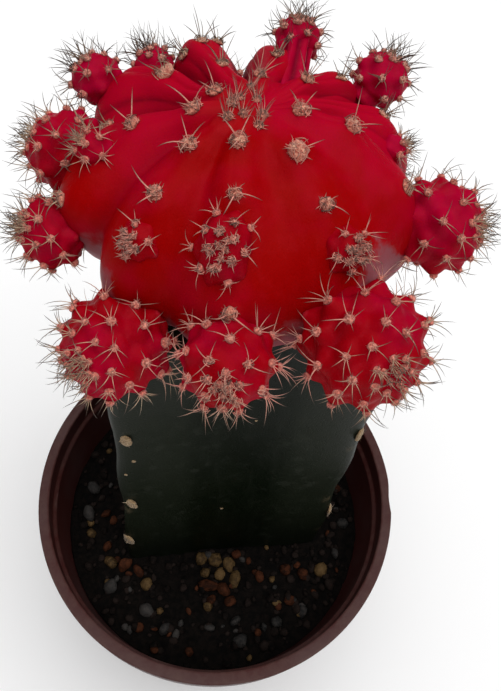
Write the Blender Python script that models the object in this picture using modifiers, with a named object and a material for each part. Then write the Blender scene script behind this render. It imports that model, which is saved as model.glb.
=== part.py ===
"""Potted moon cactus: a ribbed red head and its offsets, grafted on a three-ribbed green stock in a round pot.

The origin is the centre of the pot's base, +Z is up, and -Y is the side that shows the head's widest face.
"""

import random
from math import acos, asin, atan2, cos, degrees, exp, hypot, pi, radians, sin, sqrt, tau

import bmesh
import bpy
from mathutils import Matrix, Quaternion, Vector, noise
from mathutils.bvhtree import BVHTree

MM = 0.001
OBJECT_NAME = "potted_moon_cactus"
SEAT_GAP = 0.3 * MM

# Pot, a thin round plastic pot with a stepped rim
POT_HEIGHT = 51 * MM
RIM_RADIUS = 32 * MM
RIM_WIDTH = 1.9 * MM
RIM_DEPTH = 4.4 * MM
RIM_STEP = 0.9 * MM
WALL = 1.4 * MM
BASE_RADIUS = 23.3 * MM
FLOOR = 1.4 * MM
FOOT_CHAMFER = 0.7 * MM
POT_STEPS = 44
DRAIN_HOLES = 5
DRAIN_RADIUS = 2.6 * MM
DRAIN_CIRCLE = 15.5 * MM

# Potting mix, up to the soil line
SOIL_LINE = POT_HEIGHT - 12.7 * MM
SOIL_STEPS = 36
SOIL_RINGS = 7
SOIL_RELIEF = 0.8 * MM
SOIL_MOUND = 0.9 * MM
GRAVEL_COUNT = 20
GRAVEL_SEED = 7

# Rootstock, three ribs round an axis that leans back a little
STOCK_FOOT = (0.3 * MM, 2.9 * MM)
STOCK_LEAN = (0.002, 0.073)
STOCK_TURN = radians(12)
STOCK_RADIUS_LOW = 20.4 * MM
STOCK_RADIUS_HIGH = 22.2 * MM
STOCK_HEIGHT = 66 * MM
STOCK_BURIED = 15 * MM
STOCK_CORNER = 14
STOCK_HOLLOW = 0.05
STOCK_WAVE = 0.012
STOCK_BEVEL = 7 * MM
STOCK_TOP_RADIUS = 14.5 * MM
STOCK_COLUMNS = 30
STOCK_RINGS = 12
STOCK_PITCH = 21 * MM
# Areoles on each rib of the stock, from the right front rib anticlockwise, as (height, turn from the rib's edge)
STOCK_AREOLES = (
    ((14 * MM, 0.0), (41 * MM, -0.02)),
    ((10 * MM, 0.0), (31 * MM, 0.0), (52 * MM, 0.0)),
    ((9 * MM, 0.03), (23.5 * MM, 0.05), (44.5 * MM, 0.06)),
)

# Head: its middle, grafted a little off the stock's axis, its half axes, and the flat where it is grafted
HEAD_MIDDLE = (-1.1 * MM, 8.6 * MM)
HEAD_RADIUS = 20.3 * MM
HEAD_TOP = 14.2 * MM
HEAD_UNDER = 14 * MM
HEAD_SEAT = 12.4 * MM
HEAD_COLUMNS = 6
HEAD_RINGS = 16
CROWN_DIMPLE = 0.05
TUBERCLE_HEIGHT = 0.7 * MM
TUBERCLE_SPREAD = radians(8)
GROOVE_FADE = 2.0

# Ribs from the front anticlockwise: depth of the groove that follows, how far the rib swells and at which
# latitude, and the (latitude, azimuth) of the areoles on its crest, from the crown down
RIBS = (
    (0.05, 0.00, 30, ((67, -104), (47, -95), (12, -90), (-20, -92))),
    (0.06, 0.00, 30, ((62, -51), (41, -52), (6, -49), (-20, -50))),
    (0.10, 0.03, 24, ((72, 5), (51, 3), (27, -12), (-16, -6))),
    (0.11, 0.03, 28, ((31, 26), (6, 27), (-16, 26))),
    (0.15, 0.07, 40, ((61, 51), (45, 45), (22, 50), (0, 52), (-18, 52))),
    (0.25, 0.14, 42, ((70, 94), (48, 83), (22, 85), (-2, 87), (-20, 88))),
    (0.17, 0.17, 36, ((54, 121), (39, 121), (16, 119), (-4, 120), (-20, 120))),
    (0.14, 0.12, 26, ((71, 165), (44, 151), (28, 154), (2, 152), (-18, 151))),
    (0.11, 0.10, 15, ((64, 192), (41, 190), (14, 204), (-16, 196))),
    (0.07, 0.03, 20, ((56, 225), (37, 232), (0, 232), (-20, 230))),
)
SWELL_SPREAD = 18
# The wide notch between the two lobes at the back: latitude, azimuth, depth and spread
NOTCH = (50, 102, 0.19)
NOTCH_SPREAD = radians(12)
LOOSE_AREOLES = ((26, 178), (79, -163), (74, -133), (84, -68), (78, 110))
# Areoles above this latitude are young: their pads and spines are smaller, and their spines fewer
CROWN_LATITUDE = 73
CROWN_SIZE = 0.7

# Offsets: azimuth, latitude and distance from the head's middle, radius, and azimuth and rise of the growing tip
OFFSETS = {
    "low_left": (-121, -11, 23.5, 5.6, -119, 26),
    "low_front": (-89, -1, 22.6, 4.6, -90, 24),
    "low_right": (-53, 0.5, 23.5, 6.2, -66, 31),
    "right": (-7, 7, 22.6, 5.0, -25, 35),
    "left": (-157, 0, 23.0, 3.8, -150, 35),
    "back_left": (180, 11, 21.8, 4.5, -175, 25),
    "left_small": (-166, 27, 19.5, 2.1, -160, 50),
    "upper_left": (157, 22, 23.0, 2.9, 170, 50),
    "back": (139, 27, 19.9, 2.3, 140, 45),
    "top": (78, 36, 20.9, 2.7, 60, 80),
    "upper_right": (43, 28, 22.1, 3.2, 30, 62),
    "right_small": (14, 24, 18.0, 1.8, 10, 40),
    "front_left": (-125, 21, 18.3, 2.3, -125, 30),
    "front": (-95, 29, 18.0, 2.9, -95, 45),
    "front_right": (-50, 25, 18.1, 2.4, -50, 40),
    "rear": (106, -6, 22.4, 4.3, 105, 20),
    "rear_right": (38, -14, 21.6, 3.6, 40, 10),
    "rear_left": (148, -12, 21.8, 3.4, 150, 10),
}
OFFSET_BUMP = 0.09
NECK_WIDTH = 0.62
NECK_SINK = 1.2 * MM

# Spines and the pads they grow from
SPINE_RADIUS = 0.18 * MM
SPINE_SINK = 0.5 * MM
SPINE_CLEARANCE = 0.45 * MM
SPINE_CIRCLE = 0.42 * MM
HEAD_SPINES = 4
CROWN_SPINES = 2
HEAD_SPINE_LENGTH = 2.9 * MM
OFFSET_SPINE_LENGTH = 2.2 * MM
STOCK_SPINE_LENGTH = 1.2 * MM
PAD_RADIUS = 0.95 * MM
PAD_HEIGHT = 0.45 * MM
PAD_TAPER = 0.8
SPINE_SEED = 23


def clear_scene():
    for old in list(bpy.data.objects):
        bpy.data.objects.remove(old, do_unlink=True)


def make_collection(name, parent=None):
    collection = bpy.data.collections.new(name)
    (parent or bpy.context.scene.collection).children.link(collection)
    return collection


def make_material(name, colour, roughness, metallic=0.0):
    material = bpy.data.materials.new(name)
    material.use_nodes = True
    shader = material.node_tree.nodes["Principled BSDF"]
    shader.inputs["Base Color"].default_value = (*colour, 1.0)
    shader.inputs["Roughness"].default_value = roughness
    shader.inputs["Metallic"].default_value = metallic
    material.diffuse_color = (*colour, 1.0)
    return material


def mesh_object(name, bm, collection, material=None):
    mesh = bpy.data.meshes.new(name)
    bm.to_mesh(mesh)
    bm.free()
    obj = bpy.data.objects.new(name, mesh)
    collection.objects.link(obj)
    if material:
        mesh.materials.append(material)
    return obj


def apply_modifiers(obj):
    evaluated = obj.evaluated_get(bpy.context.evaluated_depsgraph_get())
    mesh = bpy.data.meshes.new_from_object(evaluated)
    obj.modifiers.clear()
    obj.data = mesh


def hide_cutter(obj):
    obj.hide_render = True
    obj.display_type = "WIRE"


def boolean(obj, operation, cutter, solver="EXACT"):
    modifier = obj.modifiers.new(operation.lower(), "BOOLEAN")
    modifier.operation = operation
    modifier.solver = solver
    if isinstance(cutter, bpy.types.Collection):
        modifier.operand_type = "COLLECTION"
        modifier.collection = cutter
    else:
        modifier.object = cutter
    apply_modifiers(obj)


def drop_scraps(obj):
    """Keeps only the largest body of a mesh that a cut has left with loose scraps."""
    bm = bmesh.new()
    bm.from_mesh(obj.data)
    unseen = set(bm.verts)
    bodies = []
    while unseen:
        edge_of_body = [unseen.pop()]
        body = set(edge_of_body)
        while edge_of_body:
            vert = edge_of_body.pop()
            for edge in vert.link_edges:
                other = edge.other_vert(vert)
                if other not in body:
                    body.add(other)
                    edge_of_body.append(other)
        unseen -= body
        bodies.append(body)
    largest = max(bodies, key=len)
    bmesh.ops.delete(bm, geom=[vert for vert in bm.verts if vert not in largest], context="VERTS")
    bm.to_mesh(obj.data)
    bm.free()


def join_repeats(body, pieces, cutters):
    """One Boolean union joins all the pieces in a list to the body that they grow from.

    The manifold solver keeps the many thin roots closed, where the exact one leaves a few edges open.
    """
    repeats = make_collection(body.name + "_repeats", cutters)
    for piece in pieces:
        cutters.objects.unlink(piece)
        repeats.objects.link(piece)
    boolean(body, "UNION", repeats, "MANIFOLD")
    for piece in pieces:
        bpy.data.objects.remove(piece, do_unlink=True)
    bpy.data.collections.remove(repeats)
    drop_scraps(body)


def turned(name, profile, steps, collection, material):
    """A profile of (radius, height) points that runs down the outer side, turned about the Z axis."""
    bm = bmesh.new()
    points = [bm.verts.new((radius, 0.0, height)) for radius, height in profile]
    for first, second in zip(points, points[1:]):
        bm.edges.new((first, second))
    obj = mesh_object(name, bm, collection, material)
    screw = obj.modifiers.new("turn", "SCREW")
    screw.steps = steps
    screw.render_steps = steps
    screw.use_merge_vertices = True
    screw.merge_threshold = 0.00002
    screw.use_smooth_shade = False
    apply_modifiers(obj)
    return obj


def tree_of(obj):
    bm = bmesh.new()
    bm.from_mesh(obj.data)
    tree = BVHTree.FromBMesh(bm)
    bm.free()
    return tree


def direction(azimuth, latitude):
    """A unit vector from an azimuth and a latitude in degrees."""
    az, lat = radians(azimuth), radians(latitude)
    return Vector((cos(az) * cos(lat), sin(az) * cos(lat), sin(lat)))


def wall_inner_radius(height):
    """Radius of the pot's inner wall, which tapers evenly from under the rim to the floor."""
    top = RIM_RADIUS - RIM_WIDTH - RIM_STEP
    share = (height - FLOOR) / (POT_HEIGHT - RIM_DEPTH - FLOOR)
    return (BASE_RADIUS - WALL) * (1 - share) + top * share


def make_pot(collection, cutters):
    rim_inner = RIM_RADIUS - RIM_WIDTH
    under_rim = POT_HEIGHT - RIM_DEPTH
    edge = 0.4 * MM
    lip_taper = 0.5 * MM
    foot = 1.0 * MM
    profile = [
        (0.0, FLOOR),
        (wall_inner_radius(FLOOR) - foot, FLOOR),
        (wall_inner_radius(FLOOR + foot), FLOOR + foot),
        (wall_inner_radius(under_rim), under_rim),
        (rim_inner - edge, under_rim + RIM_STEP),
        (rim_inner, POT_HEIGHT - edge),
        (rim_inner + edge, POT_HEIGHT),
        (RIM_RADIUS - edge, POT_HEIGHT),
        (RIM_RADIUS, POT_HEIGHT - edge),
        (RIM_RADIUS - lip_taper, under_rim),
        (wall_inner_radius(under_rim) + WALL, under_rim - RIM_STEP / 2),
        (BASE_RADIUS, FOOT_CHAMFER),
        (BASE_RADIUS - FOOT_CHAMFER, 0.0),
        (0.0, 0.0),
    ]
    plastic = make_material("pot_plastic", (0.085, 0.045, 0.045), 0.42)
    pot = turned("pot", profile, POT_STEPS, collection, plastic)
    bm = bmesh.new()
    for i in range(DRAIN_HOLES):
        turn = tau * (i + 0.5) / DRAIN_HOLES
        place = Matrix.Translation((DRAIN_CIRCLE * cos(turn), DRAIN_CIRCLE * sin(turn), FLOOR / 2))
        bmesh.ops.create_cone(bm, cap_ends=True, segments=12, radius1=DRAIN_RADIUS, radius2=DRAIN_RADIUS,
                              depth=4 * FLOOR, matrix=place)
    drains = mesh_object("drain_cutter", bm, cutters)
    hide_cutter(drains)
    boolean(pot, "DIFFERENCE", drains)
    pot.data.shade_smooth()
    pot.data.set_sharp_from_angle(angle=radians(35))
    return pot


def stock_axis(height):
    """The middle of the stock at a height above the soil line."""
    return Vector((STOCK_FOOT[0] + STOCK_LEAN[0] * height, STOCK_FOOT[1] + STOCK_LEAN[1] * height,
                   SOIL_LINE + height))


def rib_direction(rib):
    """Azimuth of one of the three ribs, in radians; rib 1 stands at the back."""
    return pi / 2 + STOCK_TURN + (rib - 1) * tau / 3


def stock_radius(turn, height):
    """Radius of the rounded triangle at a turn from the back rib, at a height above the soil line."""
    share = min(max(height / STOCK_HEIGHT, -0.3), 1.0)
    rib_radius = STOCK_RADIUS_LOW + (STOCK_RADIUS_HIGH - STOCK_RADIUS_LOW) * share
    if height < 0:
        rib_radius *= 1 - 0.35 * (height / STOCK_BURIED) ** 2
    total = sum(max(0.0, cos(turn - (2 * face + 1) * pi / 3)) ** STOCK_CORNER for face in range(3))
    corner = 0.5 * 2 ** (1 / STOCK_CORNER)
    radius = rib_radius * corner / total ** (1 / STOCK_CORNER)
    rib_share = 0.5 + 0.5 * cos(3 * turn)
    radius *= 1 - STOCK_HOLLOW * (1 - rib_share)
    radius *= 1 + STOCK_WAVE * rib_share ** 3 * cos(tau * (height - STOCK_PITCH / 2) / STOCK_PITCH)
    near_top = max(0.0, height - (STOCK_HEIGHT - STOCK_BEVEL)) / STOCK_BEVEL
    limit = STOCK_RADIUS_HIGH * 1.02 + (STOCK_TOP_RADIUS - STOCK_RADIUS_HIGH) * near_top
    return min(radius, limit) if near_top else radius


def stock_body(name, grow, collection, material=None):
    """The stock as a stack of rounded triangles, grown outward by a distance."""
    bm = bmesh.new()
    bmesh.ops.create_cone(bm, cap_ends=True, segments=STOCK_COLUMNS, radius1=1, radius2=1, depth=1,
                          matrix=Matrix.Translation((0, 0, 0.5)))
    upright = [edge for edge in bm.edges if abs(edge.verts[0].co.z - edge.verts[1].co.z) > 0.5]
    bmesh.ops.subdivide_edges(bm, edges=upright, cuts=STOCK_RINGS - 1)
    low = -STOCK_BURIED - grow
    for vert in bm.verts:
        height = low + vert.co.z * (STOCK_HEIGHT - low)
        if vert.co.z > 0.999:
            height = STOCK_HEIGHT + grow
        turn = atan2(vert.co.y, vert.co.x) - pi / 2
        radius = stock_radius(turn, min(height, STOCK_HEIGHT)) + grow
        azimuth = turn + rib_direction(1)
        vert.co = stock_axis(height) + Vector((radius * cos(azimuth), radius * sin(azimuth), 0.0))
    return mesh_object(name, bm, collection, material)


def soil_height(x, y):
    """Uneven surface of the potting mix, a little higher round the stock."""
    lumps = noise.noise(Vector((x, y, 0.0)) / (3.2 * MM)) + 0.6 * noise.noise(Vector((x, y, 0.02)) / (1.7 * MM))
    far = hypot(x - STOCK_FOOT[0], y - STOCK_FOOT[1]) / RIM_RADIUS
    return SOIL_LINE + SOIL_RELIEF * lumps + SOIL_MOUND * (0.6 - far)


def make_soil(collection, cutters, stock_cutter):
    """The potting mix fills the pot up to the soil line, with grit on top and a plain hole for the stock."""
    edge = 1.0 * MM
    gap = SEAT_GAP * 1.15
    side_top = wall_inner_radius(SOIL_LINE) - gap
    floor = FLOOR + SEAT_GAP
    profile = [(side_top * ring / SOIL_RINGS, SOIL_LINE) for ring in range(SOIL_RINGS + 1)]
    profile.append((wall_inner_radius(floor + edge) - gap, floor + edge))
    profile.append((wall_inner_radius(floor) - gap - edge, floor))
    profile.append((0.0, floor))
    mix = make_material("potting_mix", (0.035, 0.025, 0.02), 0.95)
    soil = turned("soil", profile, SOIL_STEPS, collection, mix)
    for vert in soil.data.vertices:
        if vert.co.z > SOIL_LINE - 0.1 * MM:
            vert.co.z = soil_height(vert.co.x, vert.co.y)
    rng = random.Random(GRAVEL_SEED)
    stock_tree = tree_of(stock_cutter)
    grit = []
    while len(grit) < GRAVEL_COUNT:
        size = rng.uniform(0.9, 1.5) * MM
        turn = rng.uniform(0, tau)
        out = (side_top - size - gap) * sqrt(rng.random())
        x, y = out * cos(turn), out * sin(turn)
        middle = Vector((x, y, soil_height(x, y) + 0.25 * size))
        nearest = stock_tree.find_nearest(middle)
        if nearest[3] < size + SEAT_GAP or hypot(*(middle - stock_axis(0)).xy) < 8 * MM:
            continue
        if any((middle - piece.location).length < 3 * MM for piece in grit):
            continue
        bm = bmesh.new()
        bmesh.ops.create_icosphere(bm, subdivisions=1, radius=size)
        stretch = Matrix.Diagonal((rng.uniform(0.8, 1.2), rng.uniform(0.8, 1.2), rng.uniform(0.7, 0.9), 1))
        bmesh.ops.transform(bm, matrix=Matrix.Rotation(rng.uniform(0, pi), 4, "Z") @ stretch, verts=bm.verts)
        piece = mesh_object("grit", bm, cutters)
        piece.location = middle
        grit.append(piece)
    join_repeats(soil, grit, cutters)
    boolean(soil, "DIFFERENCE", stock_cutter)
    drop_scraps(soil)
    return soil


def head_centre():
    """The head's middle, with its seat a small gap above the stock's cut top."""
    return Vector((*HEAD_MIDDLE, SOIL_LINE + STOCK_HEIGHT + SEAT_GAP + HEAD_SEAT))


def rib_azimuth(rib, latitude):
    """Azimuth of a rib's crest at a latitude, both in degrees, straight between its areoles."""
    turns, rib = divmod(rib, len(RIBS))
    points = RIBS[rib][3]
    if latitude >= points[0][0]:
        return points[0][1] + 360 * turns
    for (high, start), (low, end) in zip(points, points[1:]):
        if latitude >= low:
            return start + (end - start) * (high - latitude) / (high - low) + 360 * turns
    return points[-1][1] + 360 * turns


def areole_places():
    """Every areole of the head as (latitude, azimuth) in degrees: down the ribs, then the loose ones."""
    return [place for rib in RIBS for place in rib[3]] + list(LOOSE_AREOLES)


def rib_swell(rib, latitude):
    """How far a rib swells beyond the plain head at a latitude in degrees."""
    swell, middle = RIBS[rib % len(RIBS)][1:3]
    return swell * exp(-((latitude - middle) / SWELL_SPREAD) ** 2)


def head_point(rib_phase, latitude, grow):
    """A point of the head's skin; a whole rib_phase is a rib's crest, and halves are the grooves."""
    rib = int(rib_phase)
    across = rib_phase - rib
    start, end = rib_azimuth(rib, latitude), rib_azimuth(rib + 1, latitude)
    way = direction(start + (end - start) * across, latitude)
    half_height = HEAD_TOP if latitude > 0 else HEAD_UNDER
    radius = 1 / sqrt((hypot(way.x, way.y) / HEAD_RADIUS) ** 2 + (way.z / half_height) ** 2)
    groove = (1 - abs(cos(pi * across))) ** (1 + 4 * RIBS[rib][0])
    fade = min(1.0, (90 - abs(latitude)) / 35) ** GROOVE_FADE
    share = across * across * (3 - 2 * across)
    radius *= 1 + rib_swell(rib, latitude) * (1 - share) + rib_swell(rib + 1, latitude) * share
    radius *= 1 - RIBS[rib][0] * groove * fade
    radius *= 1 - CROWN_DIMPLE * max(0.0, (latitude - 70) / 20)
    radius *= 1 - NOTCH[2] * exp(-(way.angle(direction(NOTCH[1], NOTCH[0])) / NOTCH_SPREAD) ** 2)
    for place in areole_places():
        apart = way.angle(direction(place[1], place[0]))
        radius += TUBERCLE_HEIGHT * exp(-(apart / TUBERCLE_SPREAD) ** 2)
    point = way * (radius + grow)
    point.z = max(point.z, -HEAD_SEAT - grow)
    return point


def head_body(name, grow, collection, material=None):
    bm = bmesh.new()
    bmesh.ops.create_uvsphere(bm, u_segments=len(RIBS) * HEAD_COLUMNS, v_segments=HEAD_RINGS, radius=1)
    for vert in bm.verts:
        latitude = degrees(asin(min(max(vert.co.z, -1), 1)))
        columns = round(atan2(vert.co.y, vert.co.x) % tau / tau * len(RIBS) * HEAD_COLUMNS)
        vert.co = head_centre() + head_point(columns / HEAD_COLUMNS % len(RIBS), latitude, grow)
    return mesh_object(name, bm, collection, material)


class Offset:
    """One offset: a small ball of tubercles on a short neck, which bends up to its growing tip."""

    def __init__(self, name, azimuth, latitude, distance, radius, tip_azimuth, tip_rise):
        self.name = "offset_" + name
        self.outward = direction(azimuth, latitude)
        self.centre = head_centre() + self.outward * distance * MM
        self.radius = radius * MM
        self.bend = self.outward.rotation_difference(direction(tip_azimuth, tip_rise))
        self.ribs = 4 if radius < 2.3 else 5 if radius < 3.5 else 6 if radius < 5.3 else 7
        self.rings = 6 if radius < 3.5 else 8 if radius < 5.3 else 10

    def place(self, polar, turn, radius):
        """A point at an angle from the growing tip; the ball's frame bends evenly from its neck to its tip."""
        upright = Vector((0, 0, 1)).rotation_difference(self.outward)
        way = upright @ Vector((sin(polar) * cos(turn), sin(polar) * sin(turn), cos(polar)))
        lean = Quaternion().slerp(self.bend, 1 - polar / pi)
        return lean @ way * radius

    def body(self, seat_depth, collection, material):
        bm = bmesh.new()
        columns = 2 * self.ribs
        bmesh.ops.create_uvsphere(bm, u_segments=columns, v_segments=self.rings, radius=1)
        peaks, furrows = [], []
        for vert in bm.verts:
            polar = acos(min(max(vert.co.z, -1), 1))
            turn = atan2(vert.co.y, vert.co.x)
            ring = round(polar / pi * self.rings)
            column = round(turn % tau / tau * columns)
            raised = (ring + column) % 2 == 0 and 0 < ring < self.rings
            radius = self.radius * (1 + OFFSET_BUMP if raised else 1 - OFFSET_BUMP)
            from_neck = pi - polar
            if from_neck < pi / 2:
                neck = self.radius * NECK_WIDTH / max(sin(from_neck), 0.01)
                radius = max(self.radius * 0.9, min(neck, seat_depth)) if from_neck < 0.6 else radius
            vert.co = self.centre + self.place(polar, turn, radius)
            if raised and polar < 0.64 * pi:
                peaks.append(vert)
            elif not raised:
                furrows.append(vert)
        bmesh.ops.connect_verts(bm, verts=furrows)
        self.tubercles = [self.spine_roots(peak) for peak in peaks]
        return mesh_object(self.name, bm, collection, material)

    def spine_roots(self, peak):
        """A tubercle's peak, its direction, and a root on its highest face and on the one opposite."""
        outward = (peak.co - self.centre).normalized()
        middles = [face.calc_center_median() for face in peak.link_faces]
        first = max(middles, key=lambda middle: middle.z)
        second = max(middles, key=lambda middle: (middle - first).length)
        roots = [peak.co.lerp(middle, SPINE_CIRCLE / (middle - peak.co).length) for middle in (first, second)]
        return peak.co.copy(), outward, roots


def cone_piece(name, foot, way, length, foot_radius, tip_radius, sides, collection):
    """A closed cone from its foot along a direction."""
    bm = bmesh.new()
    turn = Vector((0, 0, 1)).rotation_difference(way).to_matrix().to_4x4()
    place = Matrix.Translation(foot) @ turn @ Matrix.Translation((0, 0, length / 2))
    bmesh.ops.create_cone(bm, cap_ends=True, segments=sides, radius1=foot_radius, radius2=tip_radius,
                          depth=length, matrix=place)
    return mesh_object(name, bm, collection)


class SpineField:
    """Keeps every spine clear of the other nodes, and remembers where the spines are."""

    def __init__(self, trees):
        self.trees = trees
        self.placed = []

    def is_clear(self, node, foot, tip):
        for step in (0.35, 0.55, 0.75, 1.0):
            point = foot.lerp(tip, step)
            for other, tree in self.trees.items():
                if other != node and tree.find_nearest(point, SPINE_CLEARANCE)[0] is not None:
                    return False
        for other, start, end in self.placed:
            if other == node or (start - foot).length > 4 * HEAD_SPINE_LENGTH:
                continue
            for i in range(7):
                for k in range(7):
                    apart = (foot.lerp(tip, i / 6) - start.lerp(end, k / 6)).length
                    if apart < 2.2 * SPINE_RADIUS + SEAT_GAP:
                        return False
        return True

    def grow(self, node, roots, normal, length, spread, rng, cutters):
        """A spine from each root of an areole; one that would touch another node is bent up or left out."""
        pieces = []
        middle = sum(roots, Vector()) / len(roots)
        for root in roots:
            around = (root - middle).normalized()
            reach = length * rng.uniform(0.85, 1.15)
            for tilt in (spread + rng.uniform(-0.15, 0.15), 0.5 * spread, 0.1):
                way = (normal * cos(tilt) + around * sin(tilt)).normalized()
                tip = root + way * reach
                if self.is_clear(node, root, tip):
                    foot = root - way * SPINE_SINK
                    pieces.append(cone_piece("spine", foot, way, reach + SPINE_SINK, SPINE_RADIUS, 0.0, 3, cutters))
                    self.placed.append((node, root, tip))
                    break
        return pieces


def ring_of_roots(point, normal, count, rng):
    """Roots spaced evenly on a small circle round an areole's middle."""
    side = normal.orthogonal().normalized() * SPINE_CIRCLE
    first = rng.uniform(0, tau)
    return [point + Quaternion(normal, first + tau * i / count) @ side for i in range(count)]


def near_offset(point, offsets):
    return any((point - offset.centre).length < offset.radius * 1.1 + PAD_RADIUS for offset in offsets)


def main():
    clear_scene()
    parts = make_collection(OBJECT_NAME)
    cutters = make_collection("cutters")
    rng = random.Random(SPINE_SEED)

    pot = make_pot(parts, cutters)
    stock_cutter = stock_body("stock_cutter", SEAT_GAP, cutters)
    hide_cutter(stock_cutter)
    soil = make_soil(parts, cutters, stock_cutter)
    stock = stock_body("rootstock", 0.0, parts, make_material("stock_skin", (0.03, 0.06, 0.025), 0.5))
    head = head_body("scion_head", 0.0, parts, make_material("head_skin", (0.55, 0.0, 0.01), 0.4))
    head_cutter = head_body("head_cutter", SEAT_GAP * 1.3, cutters)
    hide_cutter(head_cutter)

    head_tree = tree_of(head)
    offsets = [Offset(name, *values) for name, values in OFFSETS.items()]
    bodies = {}
    for offset in offsets:
        skin = head_tree.ray_cast(offset.centre + offset.outward * offset.radius, -offset.outward)[0]
        seat_depth = max((offset.centre - skin).dot(offset.outward), 0.0) + NECK_SINK
        material = make_material(offset.name + "_skin", (0.45, 0.0, 0.03), 0.45)
        body = offset.body(seat_depth, parts, material)
        boolean(body, "DIFFERENCE", head_cutter, "MANIFOLD")
        drop_scraps(body)
        bodies[offset.name] = body

    nodes = {"pot": pot, "soil": soil, "rootstock": stock, "scion_head": head, **bodies}
    trees = {name: tree_of(obj) for name, obj in nodes.items()}
    field = SpineField(trees)

    pieces = []
    for latitude, azimuth in areole_places():
        way = direction(azimuth, latitude)
        point, normal = head_tree.ray_cast(head_centre() + way * 2 * HEAD_RADIUS, -way)[:2]
        if near_offset(point, offsets):
            continue
        normal = (normal + way).normalized()
        size, count = (CROWN_SIZE, CROWN_SPINES) if latitude > CROWN_LATITUDE else (1.0, HEAD_SPINES)
        foot = point - normal * PAD_HEIGHT
        pieces.append(cone_piece("pad", foot, normal, 2 * PAD_HEIGHT, PAD_RADIUS * size,
                                 PAD_RADIUS * PAD_TAPER * size, 5, cutters))
        roots = ring_of_roots(point + normal * PAD_HEIGHT, normal, count, rng)
        pieces += field.grow("scion_head", roots, normal, HEAD_SPINE_LENGTH * size, 0.8, rng, cutters)
    join_repeats(head, pieces, cutters)

    for offset in offsets:
        pieces = []
        for point, normal, roots in offset.tubercles:
            skin, skin_normal = head_tree.find_nearest(point)[:2]
            cut_away = trees[offset.name].find_nearest(point)[3] > 0.01 * MM
            if cut_away or (point - skin).dot(skin_normal) < 0.6 * MM:
                continue
            pieces += field.grow(offset.name, roots, normal, OFFSET_SPINE_LENGTH, 0.6, rng, cutters)
        join_repeats(bodies[offset.name], pieces, cutters)

    pieces = []
    for rib, areoles in enumerate(STOCK_AREOLES):
        for height, turn in areoles:
            azimuth = rib_direction(rib) + turn
            way = Vector((cos(azimuth), sin(azimuth), 0.1)).normalized()
            point = trees["rootstock"].ray_cast(stock_axis(height) + way * RIM_RADIUS, -way)[0]
            pieces.append(cone_piece("pad", point - way * PAD_HEIGHT, way, 2 * PAD_HEIGHT, PAD_RADIUS,
                                     PAD_RADIUS * PAD_TAPER, 5, cutters))
            roots = ring_of_roots(point + way * PAD_HEIGHT, way, 2, rng)
            pieces += field.grow("rootstock", roots, way, STOCK_SPINE_LENGTH, 0.5, rng, cutters)
    join_repeats(stock, pieces, cutters)


main()
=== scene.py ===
"""Finish of the potted moon cactus: its skins, wool and spines, the grit, the light and the camera.

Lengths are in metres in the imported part's frame: the origin is the centre of the pot's base, and +Z is up.
"""

import random
from math import atan2, cos, hypot, pi, radians, sin, sqrt, tau

import bmesh
import bpy
import numpy as np
from mathutils import Matrix, Quaternion, Vector, noise
from mathutils.bvhtree import BVHTree


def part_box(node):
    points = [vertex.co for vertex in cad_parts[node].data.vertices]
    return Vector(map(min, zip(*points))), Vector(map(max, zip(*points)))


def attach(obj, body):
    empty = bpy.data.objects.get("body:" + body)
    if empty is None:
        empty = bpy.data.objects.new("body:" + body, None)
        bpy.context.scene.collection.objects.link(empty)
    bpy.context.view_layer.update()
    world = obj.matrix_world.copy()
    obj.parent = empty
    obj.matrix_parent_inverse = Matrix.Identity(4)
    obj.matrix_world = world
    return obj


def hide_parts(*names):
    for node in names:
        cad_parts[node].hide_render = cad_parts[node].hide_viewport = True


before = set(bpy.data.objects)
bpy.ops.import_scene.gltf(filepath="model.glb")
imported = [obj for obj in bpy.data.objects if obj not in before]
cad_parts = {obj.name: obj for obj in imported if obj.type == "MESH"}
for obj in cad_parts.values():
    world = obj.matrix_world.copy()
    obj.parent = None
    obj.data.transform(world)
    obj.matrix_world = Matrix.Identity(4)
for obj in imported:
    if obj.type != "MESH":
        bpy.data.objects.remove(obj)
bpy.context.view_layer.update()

MM = 0.001
SEAT_GAP = 0.3 * MM
BODY = "root"

# Pot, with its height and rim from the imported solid's own box
POT_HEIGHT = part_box("pot")[1].z
RIM_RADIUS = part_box("pot")[1].x
RIM_WIDTH = 1.9 * MM
RIM_DEPTH = 4.4 * MM
RIM_STEP = 0.9 * MM
WALL = 1.4 * MM
BASE_RADIUS = 23.3 * MM
FLOOR = 1.4 * MM
POT_COLUMNS = 192
DRAIN_HOLES = 5
DRAIN_RADIUS = 2.6 * MM
DRAIN_CIRCLE = 15.5 * MM
RIM_TAB_TURN = radians(3)
RIM_TAB_WIDTH = 0.07
RIM_TAB_DEPTH = 0.35 * MM
POT_SWAY = 0.12 * MM
CORNER_STEPS = 4

# Potting mix
SOIL_LINE = POT_HEIGHT - 12.7 * MM
SOIL_RELIEF = 0.8 * MM
SOIL_MOUND = 0.9 * MM
SOIL_CRUMBS = 0.28 * MM
SOIL_COLUMNS = 288

# Rootstock, three ribs round an axis that leans back a little
STOCK_FOOT = (0.3 * MM, 2.9 * MM)
STOCK_LEAN = (0.002, 0.073)
STOCK_TURN = radians(12)
STOCK_RADIUS_LOW = 20.4 * MM
STOCK_RADIUS_HIGH = 22.2 * MM
STOCK_HEIGHT = 66 * MM
STOCK_BURIED = 15 * MM
STOCK_CORNER = 14
STOCK_HOLLOW = 0.05
STOCK_WAVE = 0.012
STOCK_BEVEL = 7 * MM
STOCK_TOP_RADIUS = 14.5 * MM
STOCK_PITCH = 21 * MM
STOCK_ROWS = 170
# Wrinkles of the stock's skin, as layers of (height in mm, size of the lumps, seed)
STOCK_RELIEF = ((0.22, 6 * MM, 0.0), (0.07, 1.6 * MM, 5.0))
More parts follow.
